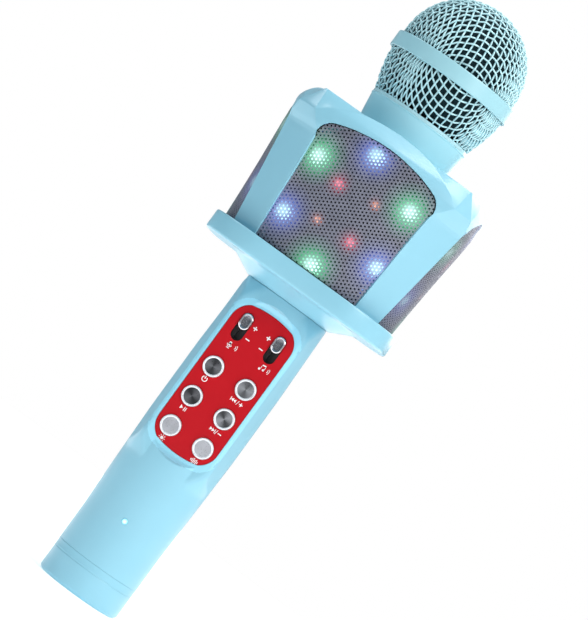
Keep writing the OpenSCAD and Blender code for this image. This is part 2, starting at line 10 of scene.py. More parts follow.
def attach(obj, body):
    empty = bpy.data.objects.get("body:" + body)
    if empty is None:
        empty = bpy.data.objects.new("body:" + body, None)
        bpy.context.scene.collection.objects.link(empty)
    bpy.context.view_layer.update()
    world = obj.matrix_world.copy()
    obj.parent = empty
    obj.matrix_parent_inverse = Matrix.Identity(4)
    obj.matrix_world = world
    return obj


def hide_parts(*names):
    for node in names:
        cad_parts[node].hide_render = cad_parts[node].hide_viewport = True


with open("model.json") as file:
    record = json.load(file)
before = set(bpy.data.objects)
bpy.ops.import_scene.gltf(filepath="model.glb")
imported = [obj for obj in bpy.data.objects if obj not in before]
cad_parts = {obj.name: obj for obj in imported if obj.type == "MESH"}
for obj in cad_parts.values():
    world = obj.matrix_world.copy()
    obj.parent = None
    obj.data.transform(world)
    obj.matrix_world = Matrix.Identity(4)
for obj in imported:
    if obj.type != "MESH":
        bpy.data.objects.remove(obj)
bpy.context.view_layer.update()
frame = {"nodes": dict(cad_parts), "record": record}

MM = 0.001
TAU = 2 * math.pi
FAR = 99

# Sizes in millimetres, as the CAD has them
CAP_TOP = 13.87
HANDLE_Z0, HANDLE_Z1 = 13.9, 137.4
HANDLE_BAR, HANDLE_WALL = 19.2, 2.0
PAD_HALF, PAD_CORNER = 15.9, 2.0
FLANGE_Z0, FLANGE_Z1 = 142.6, 150.6
FLANGE_HALF, FLANGE_CORNER = 41.5, 24.0
RIM_Y, PANEL_Y, PANEL_BACK_Y = -16.4, -16.2, -14.8
PANEL_HALF, PANEL_Z0, PANEL_Z1, PANEL_CORNER, PANEL_ARCH = 13.65, 66.0, 129.7, 8.5, 38.0
COLUMN_X = 7.6
BUTTON_TOP_Y = -17.2
BUTTON_Z = (101.1, 87.3, 73.5)
KNOB_Z = 122.1
STATUS_Z = 33.8
PORT_FLAT_Y, PORT_POCKET_Y = 17.6, 16.2
DOME_R, DOME_Z = 25.8, 250.7
LED_Z, LED_RING, LED_INNER = 177.3, 23.8, 11.2
WINDOW_Z0, WINDOW_Z1, WINDOW_ARCH, WINDOW_CORNER = 149.0, 205.7, 64.0, 6.5

# Speaker frame's levels: height, half-width of a side at its corners, depth of those corners, and
# depth of the side's middle
SKIN = np.array([
    (150, 23.4, 33.6, 40.1), (163, 24.3, 35.4, 40.9), (176, 25.1, 37.3, 41.9),
    (188, 26, 39, 43), (194, 26.6, 39.9, 43.5), (195.6, 27.0, 40.1, 43.55),
    (198, 29.2, 40.3, 43.7), (202, 32.3, 39.8, 43.5),
])


# ---------- camera, stage and light ----------

# Metres, with the turn and the roll as the photograph has them
CAMERA_DISTANCE = 1.42
CAMERA_TURN = math.radians(3.7)
CAMERA_ROLL = math.radians(36.1)
CAMERA_Z = 0.110
AIM_Z, AIM_RIGHT = 0.1368, 0.0035
LIGHT_AIM_Z = 0.14


def add_camera():
    data = bpy.data.cameras.new("camera")
    data.sensor_fit = "VERTICAL"
    data.sensor_height = 36
    data.lens = 214.4
    data.clip_start = 0.05
    data.clip_end = 50
    place = Vector((CAMERA_DISTANCE * math.sin(CAMERA_TURN),
                    -CAMERA_DISTANCE * math.cos(CAMERA_TURN), CAMERA_Z))
    across = Vector((math.cos(CAMERA_TURN), math.sin(CAMERA_TURN), 0))
    aim = Vector((0, 0, AIM_Z)) + AIM_RIGHT * across
    ahead = (aim - place).normalized()
    upright = (Vector((0, 0, 1)) - ahead.z * ahead).normalized()
    side = ahead.cross(upright)
    up = math.cos(CAMERA_ROLL) * upright - math.sin(CAMERA_ROLL) * side
    right = ahead.cross(up)
    turn = Matrix((right, up, -ahead)).transposed().to_4x4()
    camera = bpy.data.objects.new("camera", data)
    camera.matrix_world = Matrix.Translation(place) @ turn
    bpy.context.scene.collection.objects.link(camera)
    bpy.context.scene.camera = camera


def add_softbox(name, place, size, power, tint=(1, 1, 1)):
    data = bpy.data.lights.new(name, "AREA")
    data.shape = "RECTANGLE"
    data.size, data.size_y = size
    data.energy = power
    data.color = tint
    lamp = bpy.data.objects.new(name, data)
    lamp.location = place
    aim = Vector((0, 0, LIGHT_AIM_Z)) - Vector(place)
    lamp.rotation_euler = aim.to_track_quat("-Z", "Y").to_euler()
    bpy.context.scene.collection.objects.link(lamp)


def add_world():
    """White to the camera. As light, a grey-blue on the left that brightens to white on the right."""
    world = bpy.data.worlds.new("studio")
    bpy.context.scene.world = world
    world.use_nodes = True
    tree = world.node_tree
    tree.nodes.clear()
    out = tree.nodes.new("ShaderNodeOutputWorld")
    mix = tree.nodes.new("ShaderNodeMixShader")
    seen = tree.nodes.new("ShaderNodeBackground")
    lit = tree.nodes.new("ShaderNodeBackground")
    path = tree.nodes.new("ShaderNodeLightPath")
    seen.inputs["Color"].default_value = (1, 1, 1, 1)
    lit.inputs["Strength"].default_value = 0.5
    place = tree.nodes.new("ShaderNodeTexCoord")
    split = tree.nodes.new("ShaderNodeSeparateXYZ")
    ramp = tree.nodes.new("ShaderNodeValToRGB")
    span = tree.nodes.new("ShaderNodeMapRange")
    span.inputs["From Min"].default_value = -1
    ramp.color_ramp.elements[0].color = (0.28, 0.40, 0.48, 1)
    ramp.color_ramp.elements[1].color = (1.0, 1.0, 1.0, 1)
    tree.links.new(place.outputs["Generated"], split.inputs[0])
    tree.links.new(split.outputs["X"], span.inputs["Value"])
    tree.links.new(span.outputs[0], ramp.inputs[0])
    tree.links.new(ramp.outputs[0], lit.inputs["Color"])
    tree.links.new(path.outputs["Is Camera Ray"], mix.inputs[0])
    tree.links.new(lit.outputs[0], mix.inputs[1])
    tree.links.new(seen.outputs[0], mix.inputs[2])
    tree.links.new(mix.outputs[0], out.inputs[0])


def add_floor():
    reach, sides = 0.9, 96
    mesh = bpy.data.meshes.new("floor")
    turns = np.linspace(0, TAU, sides, endpoint=False)
    rim = [(reach * math.cos(a), reach * math.sin(a), 0) for a in turns]
    mesh.from_pydata(rim, [], [tuple(range(sides))])
    floor = bpy.data.objects.new("floor", mesh)
    bpy.context.scene.collection.objects.link(floor)
    material = bpy.data.materials.new("floor_white")
    material.use_nodes = True
    shader = material.node_tree.nodes["Principled BSDF"]
    shader.inputs["Base Color"].default_value = (0.9, 0.9, 0.9, 1)
    shader.inputs["Roughness"].default_value = 0.9
    shader.inputs["Emission Color"].default_value = (1, 1, 1, 1)
    shader.inputs["Emission Strength"].default_value = 0.45
    floor.data.materials.append(material)


add_camera()
add_world()
add_floor()
add_softbox("key", (0.9, -0.9, 0.75), (0.6, 0.6), 10.5)
add_softbox("fill", (-1.2, -0.7, 0.3), (0.6, 1.0), 0.6, (0.8, 0.93, 1))
add_softbox("top", (0.3, -0.05, 1.3), (0.7, 0.7), 9.5)
add_softbox("left", (-0.85, 0.15, 1.0), (0.5, 0.5), 4.5, (0.9, 0.96, 1))
add_softbox("back", (0.3, 1.1, 0.6), (0.9, 0.9), 5)
bpy.context.scene.view_settings.view_transform = "Standard"


# ---------- materials ----------

class Nodes:
    """A material's node tree, with short ways to add and join nodes."""

    def __init__(self, name):
        self.material = bpy.data.materials.new(name)
        self.material.use_nodes = True
        self.tree = self.material.node_tree
        self.shader = self.tree.nodes["Principled BSDF"]

    def add(self, kind, **values):
        made = self.tree.nodes.new("ShaderNode" + kind)
        for key, value in values.items():
            setattr(made, key, value)
        return made

    def join(self, a, b):
        self.tree.links.new(a, b)

    def place(self, scale=1.0):
        coord = self.add("TexCoord")
        mapping = self.add("Mapping")
        mapping.inputs["Scale"].default_value = (scale, scale, scale)
        self.join(coord.outputs["Object"], mapping.inputs["Vector"])
        return mapping.outputs[0]

    def noise(self, vector, scale, detail=3.0, rough=0.55):
        made = self.add("TexNoise")
        made.inputs["Scale"].default_value = scale
        made.inputs["Detail"].default_value = detail
        made.inputs["Roughness"].default_value = rough
        self.join(vector, made.inputs["Vector"])
        return made.outputs["Fac"]

    def math(self, operation, a, b=None, clamp=False):
        made = self.add("Math", operation=operation, use_clamp=clamp)
        for socket, value in zip(made.inputs, (a, b)):
            if value is None:
                continue
            if isinstance(value, (int, float)):
                socket.default_value = value
            else:
                self.join(value, socket)
        return made.outputs[0]

    def ramp(self, value, stops):
        made = self.add("ValToRGB")
        elements = made.color_ramp.elements
        while len(elements) < len(stops):
            elements.new(0.5)
        for element, (at, colour) in zip(elements, stops):
            element.position = at
            element.color = (*colour, 1)
        self.join(value, made.inputs[0])
        return made.outputs[0]

    def span(self, value, low, high, to_low, to_high):
        made = self.add("MapRange")
        made.inputs["From Min"].default_value = low
        made.inputs["From Max"].default_value = high
        made.inputs["To Min"].default_value = to_low
        made.inputs["To Max"].default_value = to_high
        self.join(value, made.inputs["Value"])
        return made.outputs[0]

    def mix(self, factor, a, b, blend="MIX"):
        made = self.add("Mix", data_type="RGBA", blend_type=blend)
        for socket, value in ((made.inputs[0], factor), (made.inputs[6], a), (made.inputs[7], b)):
            if isinstance(value, (int, float)):
                socket.default_value = value
            elif isinstance(value, tuple):
                socket.default_value = (*value, 1)
            else:
                self.join(value, socket)
        return made.outputs[2]

    def bump(self, height, strength, distance):
        made = self.add("Bump")
        made.inputs["Strength"].default_value = strength
        made.inputs["Distance"].default_value = distance
        self.join(height, made.inputs["Height"])
        self.join(made.outputs[0], self.shader.inputs["Normal"])

    def colour(self, socket):
        self.join(socket, self.shader.inputs["Base Color"])

    def rough(self, socket):
        self.join(socket, self.shader.inputs["Roughness"])

    def varied(self, vector, scale, detail, low, high):
        """Roughness that wanders between two values."""
        self.rough(self.span(self.noise(vector, scale, detail), 0.3, 0.7, low, high))

    def glow(self, socket, strength):
        self.join(socket, self.shader.inputs["Emission Color"])
        self.set(emission_strength=strength)

    def length(self, a, b):
        squares = self.math("ADD", self.math("MULTIPLY", a, a), self.math("MULTIPLY", b, b))
        return self.math("SQRT", squares)

    def set(self, **values):
        """Plain values of the shader, by their names in lower case with underscores."""
        inputs = {key.name.lower().replace(" ", "_"): key for key in self.shader.inputs}
        for key, value in values.items():
            inputs[key].default_value = value


def shade(colour, factor):
    return tuple(min(1.0, c * factor) for c in colour)


def worn_and_edge_lit_plastic(name, colour, rough=0.3, coat=0.12, specular=0.5):
    """Moulded plastic: faintly cloudy colour, fine orange peel, smears, and sharp edges painted lighter,
    partly wear and partly a painted edge highlight.
    """
    n = Nodes(name)
    at = n.place()
    base = n.ramp(n.noise(at, 38, 3), [(0.3, shade(colour, 0.98)), (0.7, shade(colour, 1.02))])
    point = n.add("NewGeometry").outputs["Pointiness"]
    # lighter sharp edges: partly wear, partly a painted highlight where edges catch the light
    rubbed_and_highlit_edge = n.span(point, 0.58, 0.7, 0, 0.08)
    n.colour(n.mix(rubbed_and_highlit_edge, base, shade(colour, 1.3)))
    smear = n.noise(at, 120, 4, 0.65)
    n.rough(n.span(smear, 0.3, 0.75, rough * 0.95, rough * 1.12))
    speck = n.math("MULTIPLY", n.noise(at, 900, 2), 0.35)
    n.bump(n.math("ADD", speck, n.noise(at, 260, 2)), 0.03, 0.002 * MM)
    n.set(coat_weight=coat, specular_ior_level=specular, coat_roughness=0.12, ior=1.5)
    return n.material


def painted_wire(name, colour):
    """Sprayed wire, with painted shade in the crossings."""
    n = Nodes(name)
    at = n.place()
    base = n.ramp(n.noise(at, 260, 3), [(0.25, shade(colour, 0.86)), (0.7, shade(colour, 1.06))])
    point = n.add("NewGeometry").outputs["Pointiness"]
    # painted shade: the hollows where the wires cross are darkened
    n.colour(n.mix(n.span(point, 0.40, 0.5, 0.35, 0), base, shade(colour, 0.4)))
    n.varied(at, 700, 2, 0.3, 0.5)
    n.bump(n.noise(at, 1500, 2), 0.15, 0.05 * MM)
    n.set(coat_weight=0.25)
    return n.material


def metal(name, colour, rough=0.25, metallic=1.0):
    n = Nodes(name)
    at = n.place()
    patch = n.noise(at, 90, 4, 0.6)
    n.colour(n.ramp(patch, [(0.3, shade(colour, 0.85)), (0.75, shade(colour, 1.05))]))
    fine = n.noise(at, 1200, 3, 0.7)
    n.rough(n.span(fine, 0.3, 0.7, rough * 0.75, rough * 1.4))
    n.bump(fine, 0.1, 0.01 * MM)
    n.set(metallic=metallic)
    return n.material


def matte(name, colour, rough=0.55, grain=600, depth=0.02):
    """Plain surface with a fine grain, its depth in millimetres."""
    n = Nodes(name)
    at = n.place()
    n.colour(n.ramp(n.noise(at, 70, 3), [(0.3, shade(colour, 0.8)), (0.7, shade(colour, 1.15))]))
    fine = n.noise(at, grain, 3, 0.6)
    n.rough(n.span(fine, 0.3, 0.7, rough * 0.85, min(1.0, rough * 1.2)))
    n.bump(fine, 0.25, depth * MM)
    return n.material


def spun_metal(name, colour, contrast=1.0):
    """Button faces: fine turning rings, and bright and dark spokes round each button's own middle, which
    are a painted reflection.
    """
    n = Nodes(name)
    coord = n.add("TexCoord").outputs["Object"]
    split = n.add("SeparateXYZ")
    n.join(coord, split.inputs[0])
    x, z = split.outputs["X"], split.outputs["Z"]
    dx = n.math("SUBTRACT", n.math("ABSOLUTE", x), COLUMN_X * MM)
    dx = n.math("MULTIPLY", dx, n.math("SIGN", x))
    low = BUTTON_Z[-1]
    step = (BUTTON_Z[0] - BUTTON_Z[-1]) / (len(BUTTON_Z) - 1)
    row = n.math("ROUND", n.math("DIVIDE", n.math("SUBTRACT", z, low * MM), step * MM))
    dz = n.math("SUBTRACT", z, n.math("ADD", n.math("MULTIPLY", row, step * MM), low * MM))
    turn = n.math("ADD", n.math("ARCTAN2", dz, dx), n.math("MULTIPLY", row, 0.7))
    # painted reflection: the fan of light and dark that spun metal throws back, set in the colour
    spokes = n.math("POWER", n.math("ABSOLUTE", n.math("COSINE", turn)), 1.6)
    n.colour(n.ramp(spokes, [(0.0, shade(colour, 1.1)), (0.65, shade(colour, 1.1 - 0.38 * contrast)),
                             (1.0, shade(colour, 1.1 - 0.68 * contrast))]))
    wave = n.math("SINE", n.math("MULTIPLY", n.length(dx, dz), TAU / (0.16 * MM)))
    jitter = n.noise(coord, 2500, 2)
    n.rough(n.span(jitter, 0.3, 0.7, 0.26, 0.42))
    n.bump(n.math("ADD", wave, jitter), 0.25, 0.004 * MM)
    n.set(metallic=1.0)
    return n.material


def circuit_board(name, colour):
    n = Nodes(name)
    at = n.place()
    tracks = n.add("TexBrick")
    tracks.inputs["Scale"].default_value = 220
    tracks.inputs["Mortar Size"].default_value = 0.03
    tracks.inputs["Color1"].default_value = (*shade(colour, 1.0), 1)
    tracks.inputs["Color2"].default_value = (*shade(colour, 0.8), 1)
    tracks.inputs["Mortar"].default_value = (*shade(colour, 1.9), 1)
    n.join(at, tracks.inputs["Vector"])
    resin = n.ramp(n.noise(at, 60), [(0.3, shade(colour, 0.8)), (0.7, colour)])
    n.colour(n.mix(0.7, tracks.outputs["Color"], resin))
    n.varied(at, 300, 3.0, 0.28, 0.5)
    n.bump(tracks.outputs["Fac"], 0.2, 0.03 * MM)
    return n.material


def foam_black(name):
    n = Nodes(name)
    at = n.place()
    cells = n.add("TexVoronoi", feature="DISTANCE_TO_EDGE")
    cells.inputs["Scale"].default_value = 1100
    n.join(at, cells.inputs["Vector"])
    distance = cells.outputs["Distance"]
    n.colour(n.ramp(distance, [(0.0, (0.012, 0.036, 0.045)), (0.35, (0.002, 0.011, 0.015))]))
    n.varied(at, 500, 3.0, 0.85, 1.0)
    n.bump(distance, 0.8, 0.25 * MM)
    n.set(specular_ior_level=0.2)
    return n.material


GREEN, BLUE = (0.06, 0.85, 0.30), (0.13, 0.20, 0.95)
RED, ORANGE = (0.42, 0.02, 0.05), (0.30, 0.06, 0.03)
# The colour over a lamp's own middle
PALE = {GREEN: (0.50, 1.0, 0.80), BLUE: (0.42, 0.75, 1.0), RED: (0.62, 0.10, 0.14),
        ORANGE: (0.50, 0.20, 0.12)}
# How far a full lamp's light goes, in millimetres
LAMP_REACH = 12.0
# Angle from +X towards +Z, distance from the middle, colour and reach of each lamp
LAMPS = [(36, LED_RING, GREEN, 1.0), (98, LED_RING, BLUE, 1.0), (152, LED_RING, GREEN, 1.0),
         (214, LED_RING, BLUE, 1.0), (272, LED_RING, GREEN, 1.0), (334, LED_RING, BLUE, 1.0),
         (50, LED_INNER, ORANGE, 0.32), (141, LED_INNER, RED, 0.5),
         (229, LED_INNER, ORANGE, 0.32), (313, LED_INNER, RED, 0.5)]


def lamp_glow(n, turn, profile, white):
    """Painted glow that stands for the light the ten lamps throw on a surface of the chamber's side at
    this turn about Z.
    profile holds (distance in millimetres, brightness) pairs, and white is the pale heart's radius."""
    coord = n.add("TexCoord").outputs["Object"]
    mapping = n.add("VectorRotate", rotation_type="Z_AXIS")
    mapping.inputs["Angle"].default_value = -turn
    n.join(coord, mapping.inputs["Vector"])
    split = n.add("SeparateXYZ")
    n.join(mapping.outputs[0], split.inputs[0])
    x, z = split.outputs["X"], split.outputs["Z"]
    total = None
    for angle, ring, tint, power in LAMPS:
        cx = ring * math.cos(math.radians(angle)) * MM
        cz = (LED_Z + ring * math.sin(math.radians(angle))) * MM
        d = n.length(n.math("SUBTRACT", x, cx), n.math("SUBTRACT", z, cz))
        d = n.math("DIVIDE", d, LAMP_REACH * power * MM, clamp=True)
        heart = n.span(d, white / LAMP_REACH * 0.6, white / LAMP_REACH * 1.5, 1, 0)
        glow = n.mix(heart, tint, PALE[tint])
        fall = n.ramp(d, [(at / LAMP_REACH, (v, v, v)) for at, v in profile])
        scaled = n.mix(1.0, glow, fall, "MULTIPLY")
        if total is None:
            total = scaled
        else:
            both = n.add("VectorMath", operation="ADD")
            n.join(total, both.inputs[0])
            n.join(scaled, both.inputs[1])
            total = both.outputs[0]
    return total


def grille_metal(name, turn):
    """Lilac-grey sprayed sheet with a painted glow round each lamp for the light from behind, the front
    one brighter.
    """
    n = Nodes(name)
    at = n.place()
    colour = (0.18, 0.185, 0.235)
    n.colour(n.ramp(n.noise(at, 240, 3), [(0.25, shade(colour, 0.86)), (0.75, shade(colour, 1.12))]))
    n.varied(at, 900, 2, 0.34, 0.55)
    n.bump(n.noise(at, 1600, 2), 0.2, 0.02 * MM)
    n.set(metallic=0.35)
    falls = [(0, 1.0), (1.5, 0.8), (3.0, 0.48), (5.5, 0.27), (8.5, 0.09), (12.0, 0.0)]
    # painted glow: emission on the sheet for the lamps' light from behind
    n.glow(lamp_glow(n, turn, falls, 2.6), 0.8 if turn == 0 else 0.3)
    return n.material


def lit_resin(name, turn, dark, light, rough, bump, falls, strength):
    """Resin behind the grille with a glow round each lamp: a painted glow on the board, the lamps' own
    light on the lenses.
    """
    n = Nodes(name)
    at = n.place()
    n.colour(n.ramp(n.noise(at, 200, 3), [(0.3, dark), (0.7, light)]))
    n.varied(at, 400, 2, *rough)
    n.bump(n.noise(at, 900, 2), *bump)
    n.glow(lamp_glow(n, turn, falls, 4.0), strength)
    return n.material


def glow_board(name, turn):
    """The dark lamp board, seen through the holes, with a painted glow round each lamp."""
    falls = [(0, 1.0), (3.0, 0.7), (5.0, 0.30), (7.0, 0.07), (9.0, 0.01), (12.0, 0.0)]
    return lit_resin(name, turn, (0.012, 0.012, 0.016), (0.03, 0.03, 0.036), (0.4, 0.6),
                     (0.2, 0.03 * MM), falls, 2.0)


def glow_lens(name, turn):
    """Clear resin of the lamps, brightest over each chip."""
    falls = [(0, 1.0), (3.0, 0.9), (6.0, 0.3), (12.0, 0.0)]
    return lit_resin(name, turn, (0.5, 0.55, 0.6), (0.7, 0.75, 0.8), (0.12, 0.25),
                     (0.1, 0.02 * MM), falls, 2.4)


def status_glow(name):
    """Clear blue light pipe with a white-hot middle."""
    n = Nodes(name)
    coord = n.add("TexCoord").outputs["Object"]
    split = n.add("SeparateXYZ")
    n.join(coord, split.inputs[0])
    dz = n.math("SUBTRACT", split.outputs["Z"], STATUS_Z * MM)
    near = n.math("DIVIDE", n.length(split.outputs["X"], dz), 1.4 * MM, clamp=True)
    n.colour(n.ramp(n.noise(coord, 400), [(0.3, shade(SKY, 0.9)), (0.7, shade(SKY, 1.1))]))
    n.varied(coord, 900, 2, 0.15, 0.3)
    n.glow(n.ramp(near, [(0.0, (0.9, 1, 1)), (0.42, (0.5, 0.95, 1)), (0.75, (0.06, 0.3, 0.4)),
                         (1.0, (0, 0.02, 0.04))]), 1.0)
    return n.material


SKY = (0.25, 0.53, 0.65)
# lighter copies of the sky plastic for the head's band and collar: painted light, brighter still on the
# collar to undo the crown's shade
HEAD_LIT_BLUE = (0.33, 0.60, 0.67)
MATERIALS = {
    "shell_plastic": worn_and_edge_lit_plastic("sky_plastic", SKY),
    "head_plastic": worn_and_edge_lit_plastic("head_plastic", HEAD_LIT_BLUE),
    "collar_plastic": worn_and_edge_lit_plastic("collar_plastic", shade(HEAD_LIT_BLUE, 1.22)),
    "mesh_wire": painted_wire("painted_wire", (0.50, 0.78, 0.83)),
    "panel_plastic": worn_and_edge_lit_plastic("red_plastic", (0.47, 0.006, 0.012), 0.3, 0.0, 0.16),
    "button_metal": spun_metal("spun_button", (0.62, 0.62, 0.66)),
    "knob_metal": metal("plated_knob", (0.86, 0.87, 0.9), 0.12),
    "black_plastic": matte("black_plastic", (0.012, 0.012, 0.014), 0.4),
    "circuit_board": circuit_board("solder_mask", (0.01, 0.09, 0.05)),
    "lamp_lens": matte("lamp_resin", (0.8, 0.85, 0.9), 0.2),
    "status_lens": status_glow("status_resin"),
    "steel": metal("zinc_steel", (0.62, 0.63, 0.66), 0.3),
    "magnet_iron": matte("ferrite", (0.05, 0.05, 0.055), 0.6),
    "contact_metal": metal("spring_brass", (0.78, 0.6, 0.3), 0.25),
    "battery_wrap": worn_and_edge_lit_plastic("cell_wrap", (0.02, 0.09, 0.36), 0.3, 0.4),
    "foam": foam_black("windscreen_foam"),
    "soft_rubber": matte("soft_rubber", (0.012, 0.012, 0.012), 0.75),
    "cone_paper": matte("doped_paper", (0.02, 0.02, 0.022), 0.8, 300),
}


# ---------- mesh helpers ----------

def new_object(name, points, faces, material=None, smooth=True):
    """An object in the scene from points in metres and faces as rows of point numbers."""
    mesh = bpy.data.meshes.new(name)
    mesh.from_pydata([tuple(p) for p in points], [], faces)
    mesh.validate()
    obj = bpy.data.objects.new(name, mesh)
    bpy.context.scene.collection.objects.link(obj)
    if smooth:
        mesh.polygons.foreach_set("use_smooth", [True] * len(mesh.polygons))
    if material:
        mesh.materials.append(material)
    return obj


def tidy_normals(obj):
    work = bmesh.new()
    work.from_mesh(obj.data)
    bmesh.ops.recalc_face_normals(work, faces=work.faces)
    work.to_mesh(obj.data)
    work.free()


def apply_modifiers(obj):
    graph = bpy.context.evaluated_depsgraph_get()
    made = bpy.data.meshes.new_from_object(obj.evaluated_get(graph), depsgraph=graph)
    obj.modifiers.clear()
    old = obj.data
    obj.data = made
    bpy.data.meshes.remove(old)


def sharpen(obj, degrees):
    """Smooth shading that keeps edges sharper than this angle."""
    obj.data.polygons.foreach_set("use_smooth", [True] * len(obj.data.polygons))
    work = bmesh.new()
    work.from_mesh(obj.data)
    limit = math.radians(degrees)
    for edge in work.edges:
        edge.smooth = len(edge.link_faces) == 2 and edge.calc_face_angle() < limit
    work.to_mesh(obj.data)
    work.free()


def closed_rings(name, rings, material=None):
    """A closed skin through rings that come back to the first, such as a tube with a wall."""
    count = len(rings[0])
    points = np.concatenate(rings)
    faces = []
    for i in range(len(rings)):
        a, b = i * count, (i + 1) % len(rings) * count
        for k in range(count):
            j = (k + 1) % count
            faces.append((a + k, a + j, b + j, b + k))
    obj = new_object(name, points, faces, material)
    tidy_normals(obj)
    return obj


def cut(obj, *cutters):
    """Takes closed shapes out of a closed shape."""
    for cutter in cutters:
        tool = obj.modifiers.new("cut", "BOOLEAN")
        tool.operation = "DIFFERENCE"
        tool.object = cutter
        tool.solver = "EXACT"
    apply_modifiers(obj)
    for cutter in cutters:
        bpy.data.objects.remove(cutter)


def prism(outline, y0, y1, start=0):
    """Points and faces of a closed prism along Y over an outline of X and Z in millimetres."""
    n = len(outline)
    points = [(x * MM, y * MM, z * MM) for y in (y0, y1) for x, z in outline]
    faces = [tuple(start + k for k in range(n)), tuple(start + 2 * n - 1 - k for k in range(n))]
    for k in range(n):
        j = (k + 1) % n
        faces.append((start + k, start + j, start + n + j, start + n + k))
    return points, faces


def prism_y(name, outline, y0, y1):
    obj = new_object(name, *prism(outline, y0, y1), smooth=False)
    tidy_normals(obj)
    return obj


def round_outline(cx, cz, r, count=48):
    turns = np.linspace(0, TAU, count, endpoint=False)
    return [(cx + r * math.cos(a), cz + r * math.sin(a)) for a in turns]


def box_outline(half_w, z0, z1, r, count=10):
    """Outline of a rounded upright rectangle on the middle line, with this many points a corner."""
    points = []
    for sx, sz, start in ((1, 1, 0), (-1, 1, 90), (-1, -1, 180), (1, -1, 270)):
        cx, cz = sx * (half_w - r), (z1 - r if sz > 0 else z0 + r)
        for a in np.radians(np.linspace(start, start + 90, count)):
            points.append((cx + r * math.cos(a), cz + r * math.sin(a)))
    return points


def fillet(profile, radius, steps=4):
    """Rounds the inner corners of a profile of (r, z) points, each by at most half its sides."""
    profile = [np.array(p, float) for p in profile]
    out = [profile[0]]
    for before, here, after in zip(profile, profile[1:], profile[2:]):
        a, b = before - here, after - here
        la, lb = np.linalg.norm(a), np.linalg.norm(b)
        reach = min(radius, la * 0.45, lb * 0.45)
        p, q = here + a / la * reach, here + b / lb * reach
        for t in np.linspace(0, 1, steps + 1):
            out.append((1 - t) ** 2 * p + 2 * t * (1 - t) * here + t * t * q)
    out.append(profile[-1])
    return out


def ring_at(angles, r, z):
    """A level ring round Z from one radius, or one for each angle, in millimetres."""
    r = np.broadcast_to(r, angles.shape)
    ring = np.stack([r * np.cos(angles), r * np.sin(angles), np.full(angles.shape, z)], axis=1)
    return ring * MM


def turned(name, profile, material, count=160, centre=(0, 0)):
    """A closed body of revolution about Z from a closed profile of (r, z) points."""
    angles = np.linspace(0, TAU, count, endpoint=False)
    rings = [np.stack([(centre[0] + r * np.cos(angles)) * MM, (centre[1] + r * np.sin(angles)) * MM,
                       np.full(count, z * MM)], axis=1) for r, z in profile]
    return closed_rings(name, rings, material)


def give(name, material):
    """Another material on a CAD node that is kept as it is."""
    obj = frame["nodes"][name]
    for held in obj.material_slots:
        held.link = "OBJECT"
        held.material = material
    if not obj.material_slots:
        obj.data.materials.append(material)


# Every node starts with the better material of its slot.
for part in frame["record"]["subparts"]:
    if part["material_slot"] in MATERIALS:
        give(part["node"], MATERIALS[part["material_slot"]])
# the thread ring takes a lighter copy of the shell plastic: a painted highlight along the collar's top
give("grille_thread_ring", worn_and_edge_lit_plastic("pale_ring", (0.45, 0.72, 0.78), 0.22, 0.5))
give("chamber_floor", MATERIALS["shell_plastic"])


def stand_for(obj, body, slot, *nodes):
    """Puts a detailed piece in the place of CAD nodes."""
    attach(obj, body)
    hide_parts(*nodes)


# ---------- handle ----------

def smooth_min(a, b, k):
    h = np.clip(0.5 + 0.5 * (b - a) / k, 0, 1)
    return b + (a - b) * h - k * h * (1 - h)


def smooth_max(a, b, k):
    return -smooth_min(-a, -b, k)


def handle_radius(z):
    """The bare round bar, a little slimmer at its ends."""
    return np.interp(z, [HANDLE_Z0, 30, 50, 75, 105, HANDLE_Z1],
                     [18, 18, 18.6, HANDLE_BAR, HANDLE_BAR, 18.5])


def round_box_distance(x, z, half_w, z0, z1, r):
    """Distance from a rounded upright rectangle's outline, negative inside."""
    qx = np.abs(x) - (half_w - r)
    qz = np.abs(z - (z0 + z1) / 2) - ((z1 - z0) / 2 - r)
    outside = np.hypot(np.maximum(qx, 0), np.maximum(qz, 0))
    return outside + np.minimum(np.maximum(qx, qz), 0) - r


def panel_distance(x, z):
    """Distance from the control panel's outline, negative inside."""
    box = round_box_distance(x, z, PANEL_HALF, PANEL_Z0, PANEL_Z1, PANEL_CORNER)
    top = np.hypot(x, z - (PANEL_Z1 - PANEL_ARCH)) - PANEL_ARCH
    foot = np.hypot(x, z - (PANEL_Z0 + PANEL_ARCH)) - PANEL_ARCH
    return np.maximum(box, np.maximum(top, foot))


def handle_surface(angle, z):
    """Radius of the handle's skin at an angle about Z: a round bar with a squared pad that is pushed
    out beside the panel and fades at its ends."""
    base = handle_radius(z)
    rise = np.clip((z - 55) / 13, 0, 1)
    rise = rise * rise * (3 - 2 * rise)
    lift = np.where(z < 90, 18.5 + 3.9 * rise, np.interp(z, [129.5, HANDLE_Z1], [22.1, 18.5]))
    pad = smooth_min(pad_radius(angle, PAD_HALF, -RIM_Y, PAD_CORNER), lift, 1.1)
    return np.where((np.sin(angle) < 0) & (z > 56), smooth_max(base, pad, 0.25), base)


